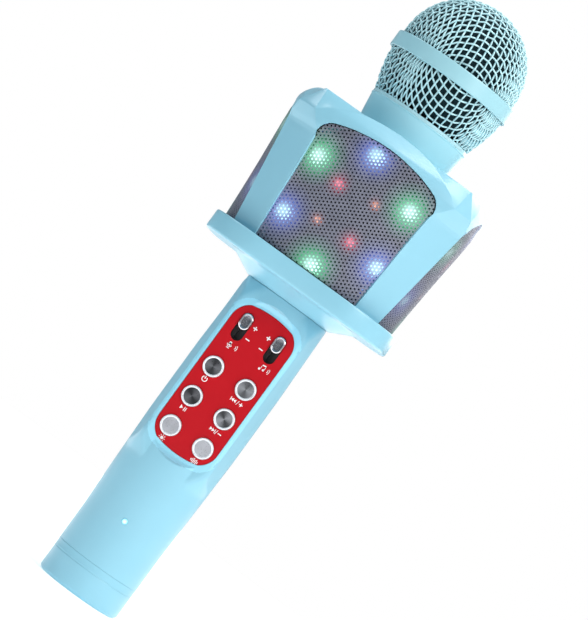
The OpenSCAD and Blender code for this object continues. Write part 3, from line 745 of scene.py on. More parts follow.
def pad_radius(angle, half, depth, corner):
    """Radius of a round bar drawn out to two rounded front corners, where its tangents reach them."""
    centre = np.array([half - corner, -(depth - corner)])
    reach = np.hypot(*centre)
    tangent = math.atan2(centre[1], centre[0]) + math.acos((HANDLE_BAR - corner) / reach)
    normal = np.array([math.cos(tangent), math.sin(tangent)])
    ax = np.abs(np.cos(angle))
    ay = np.sin(angle)
    # the straight side, from the bar's tangent point to the corner
    side = HANDLE_BAR / np.maximum(ax * normal[0] + ay * normal[1], 1e-6)
    side = np.where(ax * normal[0] + ay * normal[1] > 0.05, side, FAR)
    front = np.where(ay < 0, depth / np.maximum(-ay, 1e-6), FAR)
    # the rounded corner
    b = ax * centre[0] + ay * centre[1]
    disc = b * b - (reach ** 2 - corner ** 2)
    arc = np.where((b > 0) & (disc > 0), b + np.sqrt(np.maximum(disc, 0)), 0)
    # the directions where the side begins, the corner begins and the front begins
    direction = np.arctan2(ay, ax)
    first = math.atan2(HANDLE_BAR * normal[1], HANDLE_BAR * normal[0])
    start = math.atan2(centre[1] + corner * normal[1], centre[0] + corner * normal[0])
    finish = math.atan2(-depth, centre[0])
    out = np.where(direction > first, 0, np.where(direction > start, side,
                   np.where(direction > finish, np.maximum(arc, 0), front)))
    return np.where(ay < 0, out, 0)


def recess_limit(angle, z, skin):
    """The skin's radius once the sloping recess round the panel is cut, by halving."""
    low, high = np.full_like(skin, 5.0), skin.copy()
    ca, sa = np.cos(angle), np.sin(angle)

    def outside(r):
        x, y = r * ca, r * sa
        over = panel_distance(x, z) - 1.5
        floor = RIM_Y - 1.15 * smooth_max(over, np.zeros_like(over), 0.5)
        return y < floor

    cut_here = (sa < 0) & (z > 58) & (z < 137) & outside(high)
    for _ in range(22):
        middle = (low + high) / 2
        out = outside(middle)
        high = np.where(out, middle, high)
        low = np.where(out, low, middle)
    return np.where(cut_here, low, skin)


def add_handle():
    """One moulded tube, with its sockets, its control panel's bed and its neck cut or drawn in."""
    zs = np.unique(np.concatenate([
        np.linspace(HANDLE_Z0, 56, 30), np.linspace(56, 70, 48), np.linspace(70, 126, 48),
        np.linspace(126, HANDLE_Z1, 44)]))
    front = np.radians(np.linspace(180, 360, 260, endpoint=False))
    rear = np.radians(np.linspace(0, 180, 100, endpoint=False))
    angles = np.concatenate([rear, front])
    sines = np.sin(angles)

    def flat_at(depth, way):
        """Radius of a flat face at this depth in front (-1) or behind (1)."""
        return np.where(way * sines > 0, depth / np.maximum(way * sines, 1e-6), FAR)

    rings = [ring_at(angles, 17.88, HANDLE_Z0)]
    for i, z in enumerate(zs):
        heights = np.full(angles.shape, z)
        skin = recess_limit(angles, heights, handle_surface(angles, heights))
        if z > 90:
            # the flat round the ports, with a ramp above and below it
            ramp = 0.9 * max(0, abs(z - 112.2) - 20.2)
            skin = smooth_min(skin, flat_at(PORT_FLAT_Y + ramp, 1), 0.25)
        if i == 0:
            rings.append(ring_at(angles, skin, z + 0.12))
        elif i == len(zs) - 1:
            rings.append(ring_at(angles, skin - 0.2, z))
        else:
            rings.append(ring_at(angles, skin, z))
    for z in (HANDLE_Z1, 134.2, 133.9, 88.1, 87.9, 60.1, 59.9, 45, 30, 16.4):
        r = np.full(angles.shape, handle_radius(z) - HANDLE_WALL)
        if 60 < z < 134:
            r = np.minimum(r, flat_at(12.8, -1))
        if 88 < z < 134:
            r = np.minimum(r, flat_at(15.0, 1))
        rings.append(ring_at(angles, r, z))
    # the neck that the tail cap screws on
    rings += [ring_at(angles, r, z)
              for r, z in ((13.0, 16.4), (13.0, 4.5), (14.9, 4.5), (14.9, HANDLE_Z0))]
    handle = closed_rings("handle_shell", rings, MATERIALS["shell_plastic"])
    cut(handle,
        prism_y("panel_bed", panel_outline(0.15), -30, PANEL_BACK_Y),
        prism_y("panel_opening", panel_outline(-1.1), -20, -10),
        prism_y("port_bed", box_outline(6.65, 93.4, 131.1, 3.15), PORT_POCKET_Y, 30),
        prism_y("charging_opening", box_outline(4.3, 122.2, 125.8, 0.2, 2), 10, 20),
        prism_y("audio_opening", round_outline(0, 112, 3.2), 10, 20),
        prism_y("card_opening", box_outline(6.3, 99.85, 102.15, 0.2, 2), 10, 20),
        prism_y("status_opening", round_outline(0, STATUS_Z, 1.3, 32), -22, -12))
    sharpen(handle, 32)
    # the recess round the panel gets a lighter blue, a painted sheen for its slopes catching the light,
    # in a wider band at its two ends
    handle.data.materials.append(worn_and_edge_lit_plastic("sky_recess", shade(SKY, 1.22)))
    for polygon in handle.data.polygons:
        x, y, z = polygon.center / MM
        if y < -13 and 0.1 < panel_distance(x, z) < (1.9 if 70 < z < 125 else 2.8):
            polygon.material_index = len(handle.data.materials) - 1
    stand_for(handle, "body", "shell_plastic", "handle_tube")


def panel_outline(grow, step=2.0):
    """Points round the panel's outline, grown by a margin: marched along rays from its middle."""
    points = []
    middle = (PANEL_Z0 + PANEL_Z1) / 2
    for a in np.radians(np.arange(0, 360, step)):
        # rays spread evenly over the long outline, from two middles
        centre = middle + np.sign(math.sin(a)) * 20 * abs(math.sin(a))
        low, high = 0.0, 60.0
        for _ in range(40):
            r = (low + high) / 2
            if panel_distance(r * math.cos(a), np.array(centre + r * math.sin(a))) < grow:
                low = r
            else:
                high = r
        points.append((low * math.cos(a), centre + low * math.sin(a)))
    return points


# ---------- turned pieces ----------

def add_turned_pieces():
    """The tail cap, the collar and the head's band."""
    cap_r = 17.9
    cap = fillet([(0.01, 0.0), (cap_r - 1.0, 0.0), (cap_r, 1.2)], 0.9)
    cap += [(cap_r, 1.5), (cap_r, 10.2)]
    groove = ((0, 10.4), (-0.1, 10.5), (-0.12, 10.8), (0.05, 10.95), (0, 11.2))
    cap += [(cap_r + out, z) for out, z in groove]
    cap += fillet([(cap_r, 13.2), (cap_r, CAP_TOP), (16.4, CAP_TOP), (16.4, 11.9), (15.05, 11.9),
                   (15.05, 2.2), (0.01, 2.2)], 0.12, 3)
    collar = fillet([(10, 211), (20.1, 211), (20.9, 216), (21.75, 222.2), (22.0, 222.6), (22.0, 223.05),
                     (21.5, 223.05), (18.2, 223), (18.2, 213), (10, 213), (10, 211.3)], 0.3, 3)
    band = fillet([(26.05, 244), (26.05, 241.5), (27.1, 241.5), (27.1, 242.5), (27.1, 247.0),
                   (27.1, 248), (26.05, 248), (26.05, 244.3)], 0.45, 4)
    for name, profile, finish, body, node in (
            ("tail_cap_shell", cap, "shell_plastic", "tail", "tail_cap"),
            ("neck_collar_shell", collar, "collar_plastic", "body", "neck_collar"),
            ("head_band", band, "head_plastic", "head", "grille_band")):
        stand_for(turned(name, profile, MATERIALS[finish]), body, "shell_plastic", node)


def round_square(angle, half, corner):
    """Radius of a rounded square at an angle."""
    ax, ay = np.abs(np.cos(angle)), np.abs(np.sin(angle))
    c = half - corner
    b = (ax + ay) * c
    arc = b + np.sqrt(np.maximum(b * b - (2 * c * c - corner * corner), 0))
    flat = half / np.maximum(ax, ay)
    on_flat = flat * np.minimum(ax, ay) <= c
    return np.where(on_flat, flat, arc)


def add_flange():
    """The square tray: a flaring neck, a rolled lip, and a hollow that the chamber's deck closes."""
    angles = np.linspace(0, TAU, 256, endpoint=False)
    sharpness, top_round, lip = 35, 0.7, 1.1

    def square(z, inset):
        return ring_at(angles, round_square(angles, FLANGE_HALF - inset, FLANGE_CORNER - inset), z)

    neck = fillet([(16.3, 134.4), (16.3, 137.5), (19.0, 137.5), (20.2, 138.1), (25.2, 140.6),
                   (28.6, 142.2), (32.0, 142.6)], 0.5, 4)
    rings = [ring_at(angles, r, z) for r, z in neck]
    rings.append(square(FLANGE_Z0, 2.5))
    for a in np.radians(np.linspace(0, 90, 7)):
        rings.append(square(FLANGE_Z0 + lip * (1 - math.cos(a)), lip * (1 - math.sin(a))))
    for a in np.radians(np.linspace(0, 90, 6)):
        rings.append(square(FLANGE_Z1 - top_round * (1 - math.sin(a)), top_round * (1 - math.cos(a))))
    rings += [square(FLANGE_Z1, 2.2), square(FLANGE_Z1 - 0.2, 2.4), square(145.0, 2.4)]
    rings += [ring_at(angles, 14.4, 145.0), ring_at(angles, 14.4, 134.4)]
    flange = closed_rings("flange_shell", rings, MATERIALS["shell_plastic"])
    # countersunk holes for the four screws that go up into the posts
    hole = [(0.01, 141), (3.1, 141), (3.1, 143.9), (1.7, 143.9), (1.7, 146), (0.01, 146)]
    for x in (-25.6, 25.6):
        for y in (-25.6, 25.6):
            cut(flange, turned("sink", hole, None, 40, (x, y)))
    sharpen(flange, sharpness)
    stand_for(flange, "body", "shell_plastic", "base_flange")


# ---------- speaker chamber ----------

LEVEL_FINE = np.linspace(0, len(SKIN) - 1, 400)


def smoothed_skin():
    """The frame's four numbers along its levels, smoothed and with both ends kept."""
    rows = np.stack([np.interp(LEVEL_FINE, np.arange(len(SKIN)), SKIN[:, k]) for k in range(4)], axis=1)
    kernel = np.hanning(31)
    kernel /= kernel.sum()
    padded = np.concatenate([2 * rows[0] - rows[15:0:-1], rows, 2 * rows[-1] - rows[-2:-17:-1]])
    return np.stack([np.convolve(padded[:, k], kernel, "valid") for k in range(4)], axis=1)


LEVEL_ROWS = smoothed_skin()
CROWN_Z, CROWN_X, CROWN_Y, CROWN_MIDDLE = SKIN[-1]
# The crown's flat top: depth at its corners and at the middle of its sides, half a corner's width
TOP_CORNER, TOP_MIDDLE, TOP_FLAT, TOP_Z = 33.6, 36.2, 0.35, 211.0
WINDOW_FOOT, WINDOW_HALF = 23.35, 26.9


def skin_row(level):
    return [np.interp(level, LEVEL_FINE, LEVEL_ROWS[:, k]) for k in range(4)]


def level_of(z):
    return float(np.interp(z, LEVEL_ROWS[:, 0], LEVEL_FINE))


def window_side(z, shrink=0.0):
    """Half-width of a grille window at a height, below its corner arc."""
    foot, top = WINDOW_FOOT - shrink, WINDOW_HALF - shrink
    corner_z = window_corner(shrink)[1]
    return foot + (top - foot) * np.clip((z - WINDOW_Z0) / (corner_z - WINDOW_Z0), 0, 1)


def window_corner(shrink=0.0):
    """Middle of the window's corner arc as X and Z, and the height of the arch's own middle."""
    x = WINDOW_HALF - shrink - WINDOW_CORNER
    arch_z = WINDOW_Z1 - shrink - WINDOW_ARCH
    return x, arch_z + math.sqrt((WINDOW_ARCH - WINDOW_CORNER) ** 2 - x * x), arch_z


def window_top(x, shrink=0.0):
    """Height of the window's arched top at a distance from its middle."""
    cx, cz, arch_z = window_corner(shrink)
    ax = np.abs(x)
    end = WINDOW_ARCH * (cx / (WINDOW_ARCH - WINDOW_CORNER))
    arch = arch_z + np.sqrt(np.maximum(WINDOW_ARCH ** 2 - ax ** 2, 0))
    corner = cz + np.sqrt(np.maximum(WINDOW_CORNER ** 2 - np.maximum(ax - cx, 0) ** 2, 0))
    return np.where(ax < end, arch, corner)


def side_depth(x, z):
    """Depth of a bulged side's skin, from its foot to the crown's bevel."""
    if z <= CROWN_Z:
        _, a, b, c = skin_row(level_of(z))
    else:
        a = CROWN_X
        b = np.interp(z, [CROWN_Z, 206, 210, 212.6], [CROWN_Y, 38.6, 36.9, 35.8])
        c = np.interp(z, [CROWN_Z, 204.6, 206.8, 208.6, 210.6, 212.6],
                      [CROWN_MIDDLE, 43.3, 42.4, 40.8, 38.6, 36.5])
    return c - (c - b) * min(1.0, abs(x) / a) ** 2


def corner_point(s, level):
    """A point of the front right corner's flat, s from 0 at the front to 1 at the right side."""
    z, a, b, _ = skin_row(level)
    bulge = 0.35 * math.sin(math.pi * s) * 0.7071
    return np.array([a + (b - a) * s + bulge, -b + (b - a) * s - bulge, z])


def crown_corner(s, rise):
    """The corner's bevel, from the post's top edge up to the crown's peak."""
    low = corner_point(s, len(SKIN) - 1)
    across = 2 * TOP_FLAT * s
    high = np.array([TOP_CORNER - TOP_FLAT + across, -TOP_CORNER - TOP_FLAT + across, TOP_Z])
    return low + (high - low) * rise


def crown_side(t, rise):
    """The side's bevel: low and wide beside the corners, and narrow over the window's middle."""
    x = CROWN_X * t
    z = float(np.interp(abs(x), [0, 8, 14, 18, 23.5, 28, CROWN_X],
                        [212.5, 212.0, 211.1, 210.0, 207.5, 205.3, CROWN_Z]))
    low = np.array([x, -side_depth(x, z), z])
    high_x = (TOP_CORNER - TOP_FLAT) * t
    high_y = -(TOP_MIDDLE - (TOP_MIDDLE - TOP_CORNER - TOP_FLAT) * t * t)
    high_z = max(TOP_Z, z + 0.15)
    return low + (np.array([high_x, high_y, high_z]) - low) * rise


def add_speaker_frame():
    """Four posts under a bevelled crown, as one skin with a wall's thickness and rounded edges."""
    points, faces, index, creases = [], [], {}, set()

    def vertex(p):
        key = tuple(np.round(p, 3))
        if key not in index:
            index[key] = len(points)
            points.append(p * MM)
        return index[key]

    end_level = len(SKIN) - 1
    join_level = level_of(window_corner()[1])
    low_rows = np.linspace(0, join_level, 30)
    rises = np.linspace(0, 1, 7)
    upper = np.linspace(join_level, end_level, 13)
    post_columns = np.linspace(0, 1, 9)
    # positions across the side, closer together where the window's corner arc is steep
    across = np.sin(np.linspace(-math.pi / 2, math.pi / 2, 45))

    def turned_by(p, quarter):
        c, s = (1, 0, -1, 0)[quarter], (0, 1, 0, -1)[quarter]
        return np.array([p[0] * c - p[1] * s, p[0] * s + p[1] * c, p[2]])

    def patch(grid, quarter, sharp_rows=(), sharp_columns=()):
        ids = [[vertex(turned_by(p, quarter)) for p in row] for row in grid]
        for lower, higher in zip(ids, ids[1:]):
            for k in range(len(lower) - 1):
                face = [lower[k], lower[k + 1], higher[k + 1], higher[k]]
                if len(set(face)) == 4:
                    faces.append(tuple(face))
        for r in sharp_rows:
            creases.update(frozenset(pair) for pair in zip(ids[r], ids[r][1:]))
        for c in sharp_columns:
            creases.update(frozenset((a[c], b[c])) for a, b in zip(ids, ids[1:]))

    for quarter in range(4):
        patch([[corner_point(s, v) for s in post_columns] for v in low_rows], quarter)
        patch([[corner_point(s, v) for s in post_columns] for v in upper], quarter, (-1,), (0, -1))
        patch([[crown_corner(s, r) for s in post_columns] for r in rises], quarter, (-1,), (0, -1))
        rows = []
        for k, level in enumerate(upper):
            share = k / (len(upper) - 1)
            row = []
            for t in across:
                if abs(t) > 0.9999:
                    p = corner_point(0, level)
                    row.append(np.array([p[0] * np.sign(t), p[1], p[2]]))
                    continue
                low_z = float(window_top(t * WINDOW_HALF))
                top = crown_side(t, 0)
                foot_x = (WINDOW_HALF + 0.05) * t
                x = foot_x + (top[0] - foot_x) * share
                z = low_z + (top[2] - low_z) * share
                row.append(np.array([x, -side_depth(x, z), z]))
            rows.append(row)
        patch(rows, quarter, (-1,))
        patch([[crown_side(t, r) for t in across] for r in rises], quarter, (-1,))
    # the flat top, in to the collar
    rim = []
    for quarter in range(4):
        rim += [turned_by(crown_side(t, 1), quarter) for t in across[:-1]]
        rim += [turned_by(crown_corner(s, 1), quarter) for s in post_columns[:-1]]
    rim = np.array(rim)
    angles = np.arctan2(rim[:, 1], rim[:, 0])
    shelf = [rim, np.column_stack([rim[:, :2] * 0.93, np.full(len(rim), TOP_Z)])]
    for r, z in ((23, 211.05), (20.4, 211.0), (12, 211.0)):
        level = np.full(angles.shape, z)
        shelf.append(np.stack([r * np.cos(angles), r * np.sin(angles), level], axis=1))
    for lower, higher in zip(shelf, shelf[1:]):
        ids = [[vertex(p) for p in row] for row in (lower, higher)]
        for k in range(len(lower)):
            j = (k + 1) % len(lower)
            faces.append((ids[0][k], ids[0][j], ids[1][j], ids[1][k]))
    obj = new_object("chamber_frame", points, faces, MATERIALS["shell_plastic"])
    tidy_normals(obj)
    weights = obj.data.attributes.new("bevel_weight_edge", "FLOAT", "EDGE")
    for edge in obj.data.edges:
        if frozenset(edge.vertices) in creases:
            weights.data[edge.index].value = 1.0
    crease = obj.modifiers.new("creases", "BEVEL")
    crease.width = 0.35 * MM
    crease.segments = 2
    crease.limit_method = "WEIGHT"
    crease.use_clamp_overlap = True
    thick = obj.modifiers.new("wall", "SOLIDIFY")
    thick.thickness = 2.3 * MM
    thick.offset = -1
    thick.use_even_offset = True
    thick.thickness_clamp = 1.0
    apply_modifiers(obj)
    for held in [a for a in obj.data.attributes if a.name == "bevel_weight_edge"]:
        obj.data.attributes.remove(held)
    round_over = obj.modifiers.new("edges", "BEVEL")
    round_over.width = 0.55 * MM
    round_over.segments = 3
    round_over.limit_method = "ANGLE"
    round_over.angle_limit = math.radians(60)
    apply_modifiers(obj)
    sharpen(obj, 38)
    stand_for(obj, "body", "shell_plastic", "speaker_frame")


def grille_depth(x, z):
    """Depth of a grille's face, a little inside the frame's own skin."""
    a, b, c = (np.interp(z, SKIN[:, 0], SKIN[:, k]) for k in (1, 2, 3))
    return c - (c - b) * (x / a) ** 2 - 0.7


def inside_window(x, z, margin):
    """True where a point lies inside the window by at least this margin."""
    side = window_side(z, 0.25) - np.abs(x) > margin
    top = window_top(x, 0.25) - z > margin
    corner_x, corner_z, _ = window_corner(0.25)
    far = np.hypot(np.abs(x) - corner_x, z - corner_z) < WINDOW_CORNER - margin
    in_corner = (np.abs(x) > corner_x) & (z > corner_z)
    return side & top & (far | ~in_corner) & (z > FLANGE_Z1 + 0.2 + margin)


HOLE_PITCH, HOLE_R = 1.5, 0.40


def clipped(shape, outline):
    """A convex shape cut to a convex outline that runs counter-clockwise."""
    for a, b in zip(outline, np.roll(outline, -1, axis=0)):
        if not shape:
            break
        edge = b - a
        out = []
        for p, q in zip(shape, shape[1:] + shape[:1]):
            sp = edge[0] * (p[1] - a[1]) - edge[1] * (p[0] - a[0])
            sq = edge[0] * (q[1] - a[1]) - edge[1] * (q[0] - a[0])
            if sp >= 0:
                out.append(p)
            if (sp >= 0) != (sq >= 0):
                share = sp / (sp - sq)
                out.append((p[0] + (q[0] - p[0]) * share, p[1] + (q[1] - p[1]) * share))
        shape = out
    return shape


def grille_mesh():
    """Points and faces of a hex-perforated sheet, flat in X and Z, cut to the window's outline so
    that part holes run to its edge."""
    corners = 12
    row_w = HOLE_PITCH * math.sqrt(3) / 2
    outline = window_loop(0.2)
    points, faces, index = [], [], {}

    def vertex(p):
        key = (round(p[0], 3), round(p[1], 3))
        if key not in index:
            index[key] = len(points)
            points.append(key)
        return index[key]

    cell_r = HOLE_PITCH / math.sqrt(3)
    for row in range(-33, 34):
        x = row * row_w
        for column in range(-2, 42):
            z = FLANGE_Z1 + (column + 0.5 * (row % 2)) * HOLE_PITCH
            whole = bool(inside_window(np.array(x), np.array(z), 1.1))
            if not whole and not inside_window(np.array(x), np.array(z), -0.9):
                continue
            outer, hole = [], []
            for k in range(corners):
                a = TAU * k / corners
                reach = cell_r if k % 2 == 0 else cell_r * math.cos(math.pi / 6)
                outer.append((x + reach * math.cos(a), z + reach * math.sin(a)))
                hole.append((x + HOLE_R * math.cos(a), z + HOLE_R * math.sin(a)))
            for k in range(corners):
                j = (k + 1) % corners
                shape = [outer[k], outer[j], hole[j], hole[k]]
                if not whole:
                    shape = clipped(shape, outline)
                ids = list(dict.fromkeys(vertex(p) for p in shape))
                if len(ids) > 2:
                    faces.append(tuple(ids))
    return np.array(points), faces


def window_loop(margin):
    """Points round a window, in from its edge by a margin, counter-clockwise from its foot."""
    shrink = 0.25 + margin
    cx, cz, arch_z = window_corner(shrink)
    foot_z = FLANGE_Z1 + 0.2 + max(margin, 0)
    end = math.atan2(cz - arch_z, cx)
    right = [(float(window_side(np.array(z), shrink)), z) for z in np.linspace(foot_z, cz, 3)]
    arc = [(cx + WINDOW_CORNER * math.cos(a), cz + WINDOW_CORNER * math.sin(a))
           for a in np.linspace(0, end, 8)[1:]]
    arch = [(WINDOW_ARCH * math.cos(a), arch_z + WINDOW_ARCH * math.sin(a))
            for a in np.linspace(end, math.pi - end, 22)[1:-1]]
    left = [(-x, z) for x, z in reversed(right + arc)]
    return np.array(right + arc + arch + left)


def add_grilles():
    """The four perforated sheets, the black strips that paint the shade in their gaps to the windows,
    and the boards behind them with a painted glow.
    """
    flat, faces = grille_mesh()
    depth = grille_depth(flat[:, 0], flat[:, 1])
    points = np.stack([flat[:, 0], -depth, flat[:, 1]], axis=1) * MM
    for quarter, name in enumerate(("front", "right", "rear", "left")):
        turn = quarter * math.pi / 2
        finish = grille_metal(name + "_sheet", turn)
        sheet = new_object(name + "_grille_sheet", points, faces, finish)
        tidy_normals(sheet)
        sheet.data.transform(Matrix.Rotation(turn, 4, "Z"))
        face_out(sheet, (math.sin(turn), -math.cos(turn), 0))
        thick = sheet.modifiers.new("wall", "SOLIDIFY")
        thick.thickness = 0.55 * MM
        thick.offset = -1
        apply_modifiers(sheet)
        sharpen(sheet, 40)
        stand_for(sheet, "body", "grille_sheet", name + "_grille")
        # black strip in the gap round the grille: painted shade
        border = grille_gap_shade(name)
        border.data.transform(Matrix.Rotation(turn, 4, "Z"))
        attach(border, "body")
        for node, make in ((name + "_light_board", glow_board), (name + "_lights", glow_lens)):
            give(node, make(node + "_glow", turn))


def grille_gap_shade(name):
    """A black strip round a grille's edge that fills its gap to the window: painted shade of the gap."""
    loops = []
    for margin, drop in ((-0.2, 0.25), (-0.2, 2.2), (0.9, 2.2), (0.9, 0.75), (0.25, 0.7), (0.1, 0.25)):
        loop = window_loop(margin)
        depth = grille_depth(loop[:, 0], loop[:, 1]) - drop
        loops.append(np.stack([loop[:, 0], -depth, loop[:, 1]], axis=1) * MM)
    return closed_rings(name + "_grille_border", loops, MATERIALS["black_plastic"])


def face_out(obj, direction):
    """Turns a sheet's faces so that most look along a direction."""
    total = sum((p.normal * p.area for p in obj.data.polygons), Vector())
    if total.dot(Vector(direction)) < 0:
        obj.data.flip_normals()


# ---------- mesh head ----------

def wire_tubes(name, paths, radius, sides, material):
    """One mesh of round wires with closed ends. Each path is points and outward normals."""
    points, faces, start = [], [], 0
    angles = np.linspace(0, TAU, sides, endpoint=False)
    for path, out in paths:
        ahead = np.gradient(path, axis=0)
        ahead /= np.linalg.norm(ahead, axis=1, keepdims=True)
        side = np.cross(ahead, out)
        side /= np.linalg.norm(side, axis=1, keepdims=True)
        up = np.cross(side, ahead)
        ring = path[:, None, :] + radius * (np.cos(angles)[None, :, None] * side[:, None, :]
                                            + np.sin(angles)[None, :, None] * up[:, None, :])
        points.append(ring.reshape(-1, 3))
        n = len(path)
        k = np.arange(sides)
        for i in range(n - 1):
            a, b = start + i * sides, start + (i + 1) * sides
            faces += list(zip(a + k, a + (k + 1) % sides, b + (k + 1) % sides, b + k))
        faces.append(tuple(start + k[::-1]))
        faces.append(tuple(start + (n - 1) * sides + k))
        start += n * sides
    faces = [tuple(int(v) for v in face) for face in faces]
    obj = new_object(name, np.concatenate(points) * MM, faces, material)
    tidy_normals(obj)
    return obj


DOME_PITCH, CUP_PITCH, WIRE_R, WIRE_WAVE = 2.85, 3.05, 0.36, 0.34
CUP_Z0, CUP_Z1 = 224.4, 244.4
MESH_TURN = math.radians(-75)


def fishnet(profile, cells, pitch):
    """Nodes of a cloth of square cells drawn over a body of revolution, one quarter of it: node (i, j)
    is i cells along X and j along Y from the pole. profile is (r, z) points from the pole. Returns
    the nodes and the surface's normals there."""
    profile = np.array(profile, float)
    along = np.concatenate([[0], np.cumsum(np.linalg.norm(np.diff(profile, axis=0), axis=1))])
    slope = np.gradient(profile, along, axis=0)
    sign = 1.0 if profile[-1, 1] < profile[0, 1] else -1.0

    def spot(s, a):
        r, z = np.interp(s, along, profile[:, 0]), np.interp(s, along, profile[:, 1])
        return np.array([r * math.cos(a), r * math.sin(a), z])

    def normal(s, a):
        nr, nz = (np.interp(s, along, v) for v in (-slope[:, 1] * sign, slope[:, 0] * sign))
        return np.array([nr * math.cos(a), nr * math.sin(a), nz])

    where = np.zeros((cells, cells, 2))
    for k in range(cells):
        where[k, 0] = k * pitch, 0
        where[0, k] = k * pitch, math.pi / 2
    where[0, 0] = 0, math.pi / 4
    for i in range(1, cells):
        for j in range(1, cells):
            a, b, c = where[i - 1, j], where[i, j - 1], where[i - 1, j - 1]
            pa, pb = spot(*a), spot(*b)
            reach = max(pitch, np.linalg.norm(pa - pb) * 0.53)
            guess = a + b - c
            if i == 1 and j == 1:
                guess = np.array([pitch * 1.41, math.pi / 4])
            for _ in range(12):
                here = spot(*guess)
                miss = np.array([(here - pa) @ (here - pa), (here - pb) @ (here - pb)]) - reach ** 2
                ds = (spot(guess[0] + 1e-3, guess[1]) - here) / 1e-3
                da = (spot(guess[0], guess[1] + 1e-4) - here) / 1e-4
                slopes = 2 * np.array([[(here - pa) @ ds, (here - pa) @ da],
                                       [(here - pb) @ ds, (here - pb) @ da]])
                if abs(np.linalg.det(slopes)) < 1e-6:
                    break
                move = np.linalg.solve(slopes, -miss)
                guess = guess + np.clip(move, (-1.5, -0.1), (1.5, 0.1))
            where[i, j] = guess
    nodes = np.array([[spot(*w) for w in row] for row in where])
    normals = np.array([[normal(*w) for w in row] for row in where])
    return nodes, normals


def through(points, steps=5):
    """Points on a smooth curve through the given ones, with whole steps at each of them."""
    ends = np.concatenate([[2 * points[0] - points[1]], points, [2 * points[-1] - points[-2]]])
    out = []
    for a, b, c, d in zip(ends, ends[1:], ends[2:], ends[3:]):
        for t in np.arange(steps) / steps:
            out.append(0.5 * (2 * b + (c - a) * t + (2 * a - 5 * b + 4 * c - d) * t * t
                              + (3 * b - a - 3 * c + d) * t ** 3))
    return np.array(out + [points[-1]])


def woven(name, profile, pitch, low_z, high_z, material):
    """Woven wire over a body of revolution between two heights, drawn over it from its own pole."""
    cells = int(52 / pitch)
    nodes, normals = fishnet(profile, cells, pitch)
    steps = 5
    reach = np.arange(-(cells - 1), cells)
    paths = []
    for family in (0, 1):
        for i in reach:
            flip = np.array([[1 if i >= 0 else -1, 1 if j >= 0 else -1, 1] for j in reach])
            if family:
                flip = flip[:, [1, 0, 2]]
            pick = [(abs(i), abs(j)) if family == 0 else (abs(j), abs(i)) for j in reach]
            line = np.array([nodes[p] for p in pick]) * flip
            out = through(np.array([normals[p] for p in pick]) * flip, steps)
            out /= np.linalg.norm(out, axis=1, keepdims=True)
            line = through(line, steps)
            turn = np.arange(len(line)) / steps
            wave = WIRE_WAVE * np.cos(math.pi * turn) * (-1) ** (i + cells + family)
            line = line + out * wave[:, None]
            inside = (line[:, 2] > low_z) & (line[:, 2] < high_z)
            run = []
            for k in range(len(line)):
                if inside[k]:
                    run.append(k)
                if run and (not inside[k] or k == len(line) - 1):
                    if len(run) > 3:
                        paths.append(ended(line, out, run, low_z, high_z))
                    run = []
    c, s = math.cos(MESH_TURN), math.sin(MESH_TURN)
    spin = np.array([[c, s, 0], [-s, c, 0], [0, 0, 1]])
    return wire_tubes(name, [(line @ spin, out @ spin) for line, out in paths], WIRE_R, 6, material)


def ended(line, out, run, low_z, high_z):
    """A run of a wire, with its ends drawn on to the exact height where it stops."""
    path, normals = list(line[run]), list(out[run])
    for at, beyond in ((0, run[0] - 1), (-1, run[-1] + 1)):
        if 0 <= beyond < len(line):
            inner, outer = path[at], line[beyond]
            edge = low_z if outer[2] <= low_z else high_z
            share = (edge - inner[2]) / (outer[2] - inner[2])
            if share > 0.05:
                place = 0 if at == 0 else len(path)
                path.insert(place, inner + (outer - inner) * share)
                normals.insert(place, normals[at])
    return np.array(path), np.array(normals)


def add_mesh_head():
    """The dome's cloth and the cup's, each drawn over its own form and cut off under the band."""
    reach = DOME_R - WIRE_R - WIRE_WAVE
    dome = [(reach * math.sin(a), DOME_Z + reach * math.cos(a)) for a in np.linspace(0, 2.4, 160)]
    curve = np.polyfit([224.3, 228.5, 233, 237, 241, 244.5], [21.7, 23.2, 24.5, 25.35, 25.85, 25.9], 3)
    sides = [(np.polyval(curve, z) - WIRE_R - WIRE_WAVE + 0.15, z)
             for z in np.linspace(CUP_Z0, CUP_Z1, 60)]
    # a round bottom carries the cloth's pole, and a short run goes past the top; only the sides are kept
    r0 = sides[0][0]
    quarter = np.linspace(0, math.pi / 2, 60)[:-1]
    bottom = [(r0 * math.sin(a), CUP_Z0 - r0 * 0.75 * (math.cos(a))) for a in quarter]
    beyond = [(sides[-1][0] - 0.01 * (z - CUP_Z1) ** 2, z) for z in np.linspace(244.8, 262, 50)]
    wire = MATERIALS["mesh_wire"]
    for name, form, pitch, low_z, high_z in (
            ("dome", dome, DOME_PITCH, 245.2, 290),
            ("cup", bottom + sides + beyond, CUP_PITCH, CUP_Z0, CUP_Z1)):
        cloth = woven(name + "_mesh", form, pitch, low_z, high_z, wire)
        stand_for(cloth, "head", "mesh_wire", "grille_" + name)


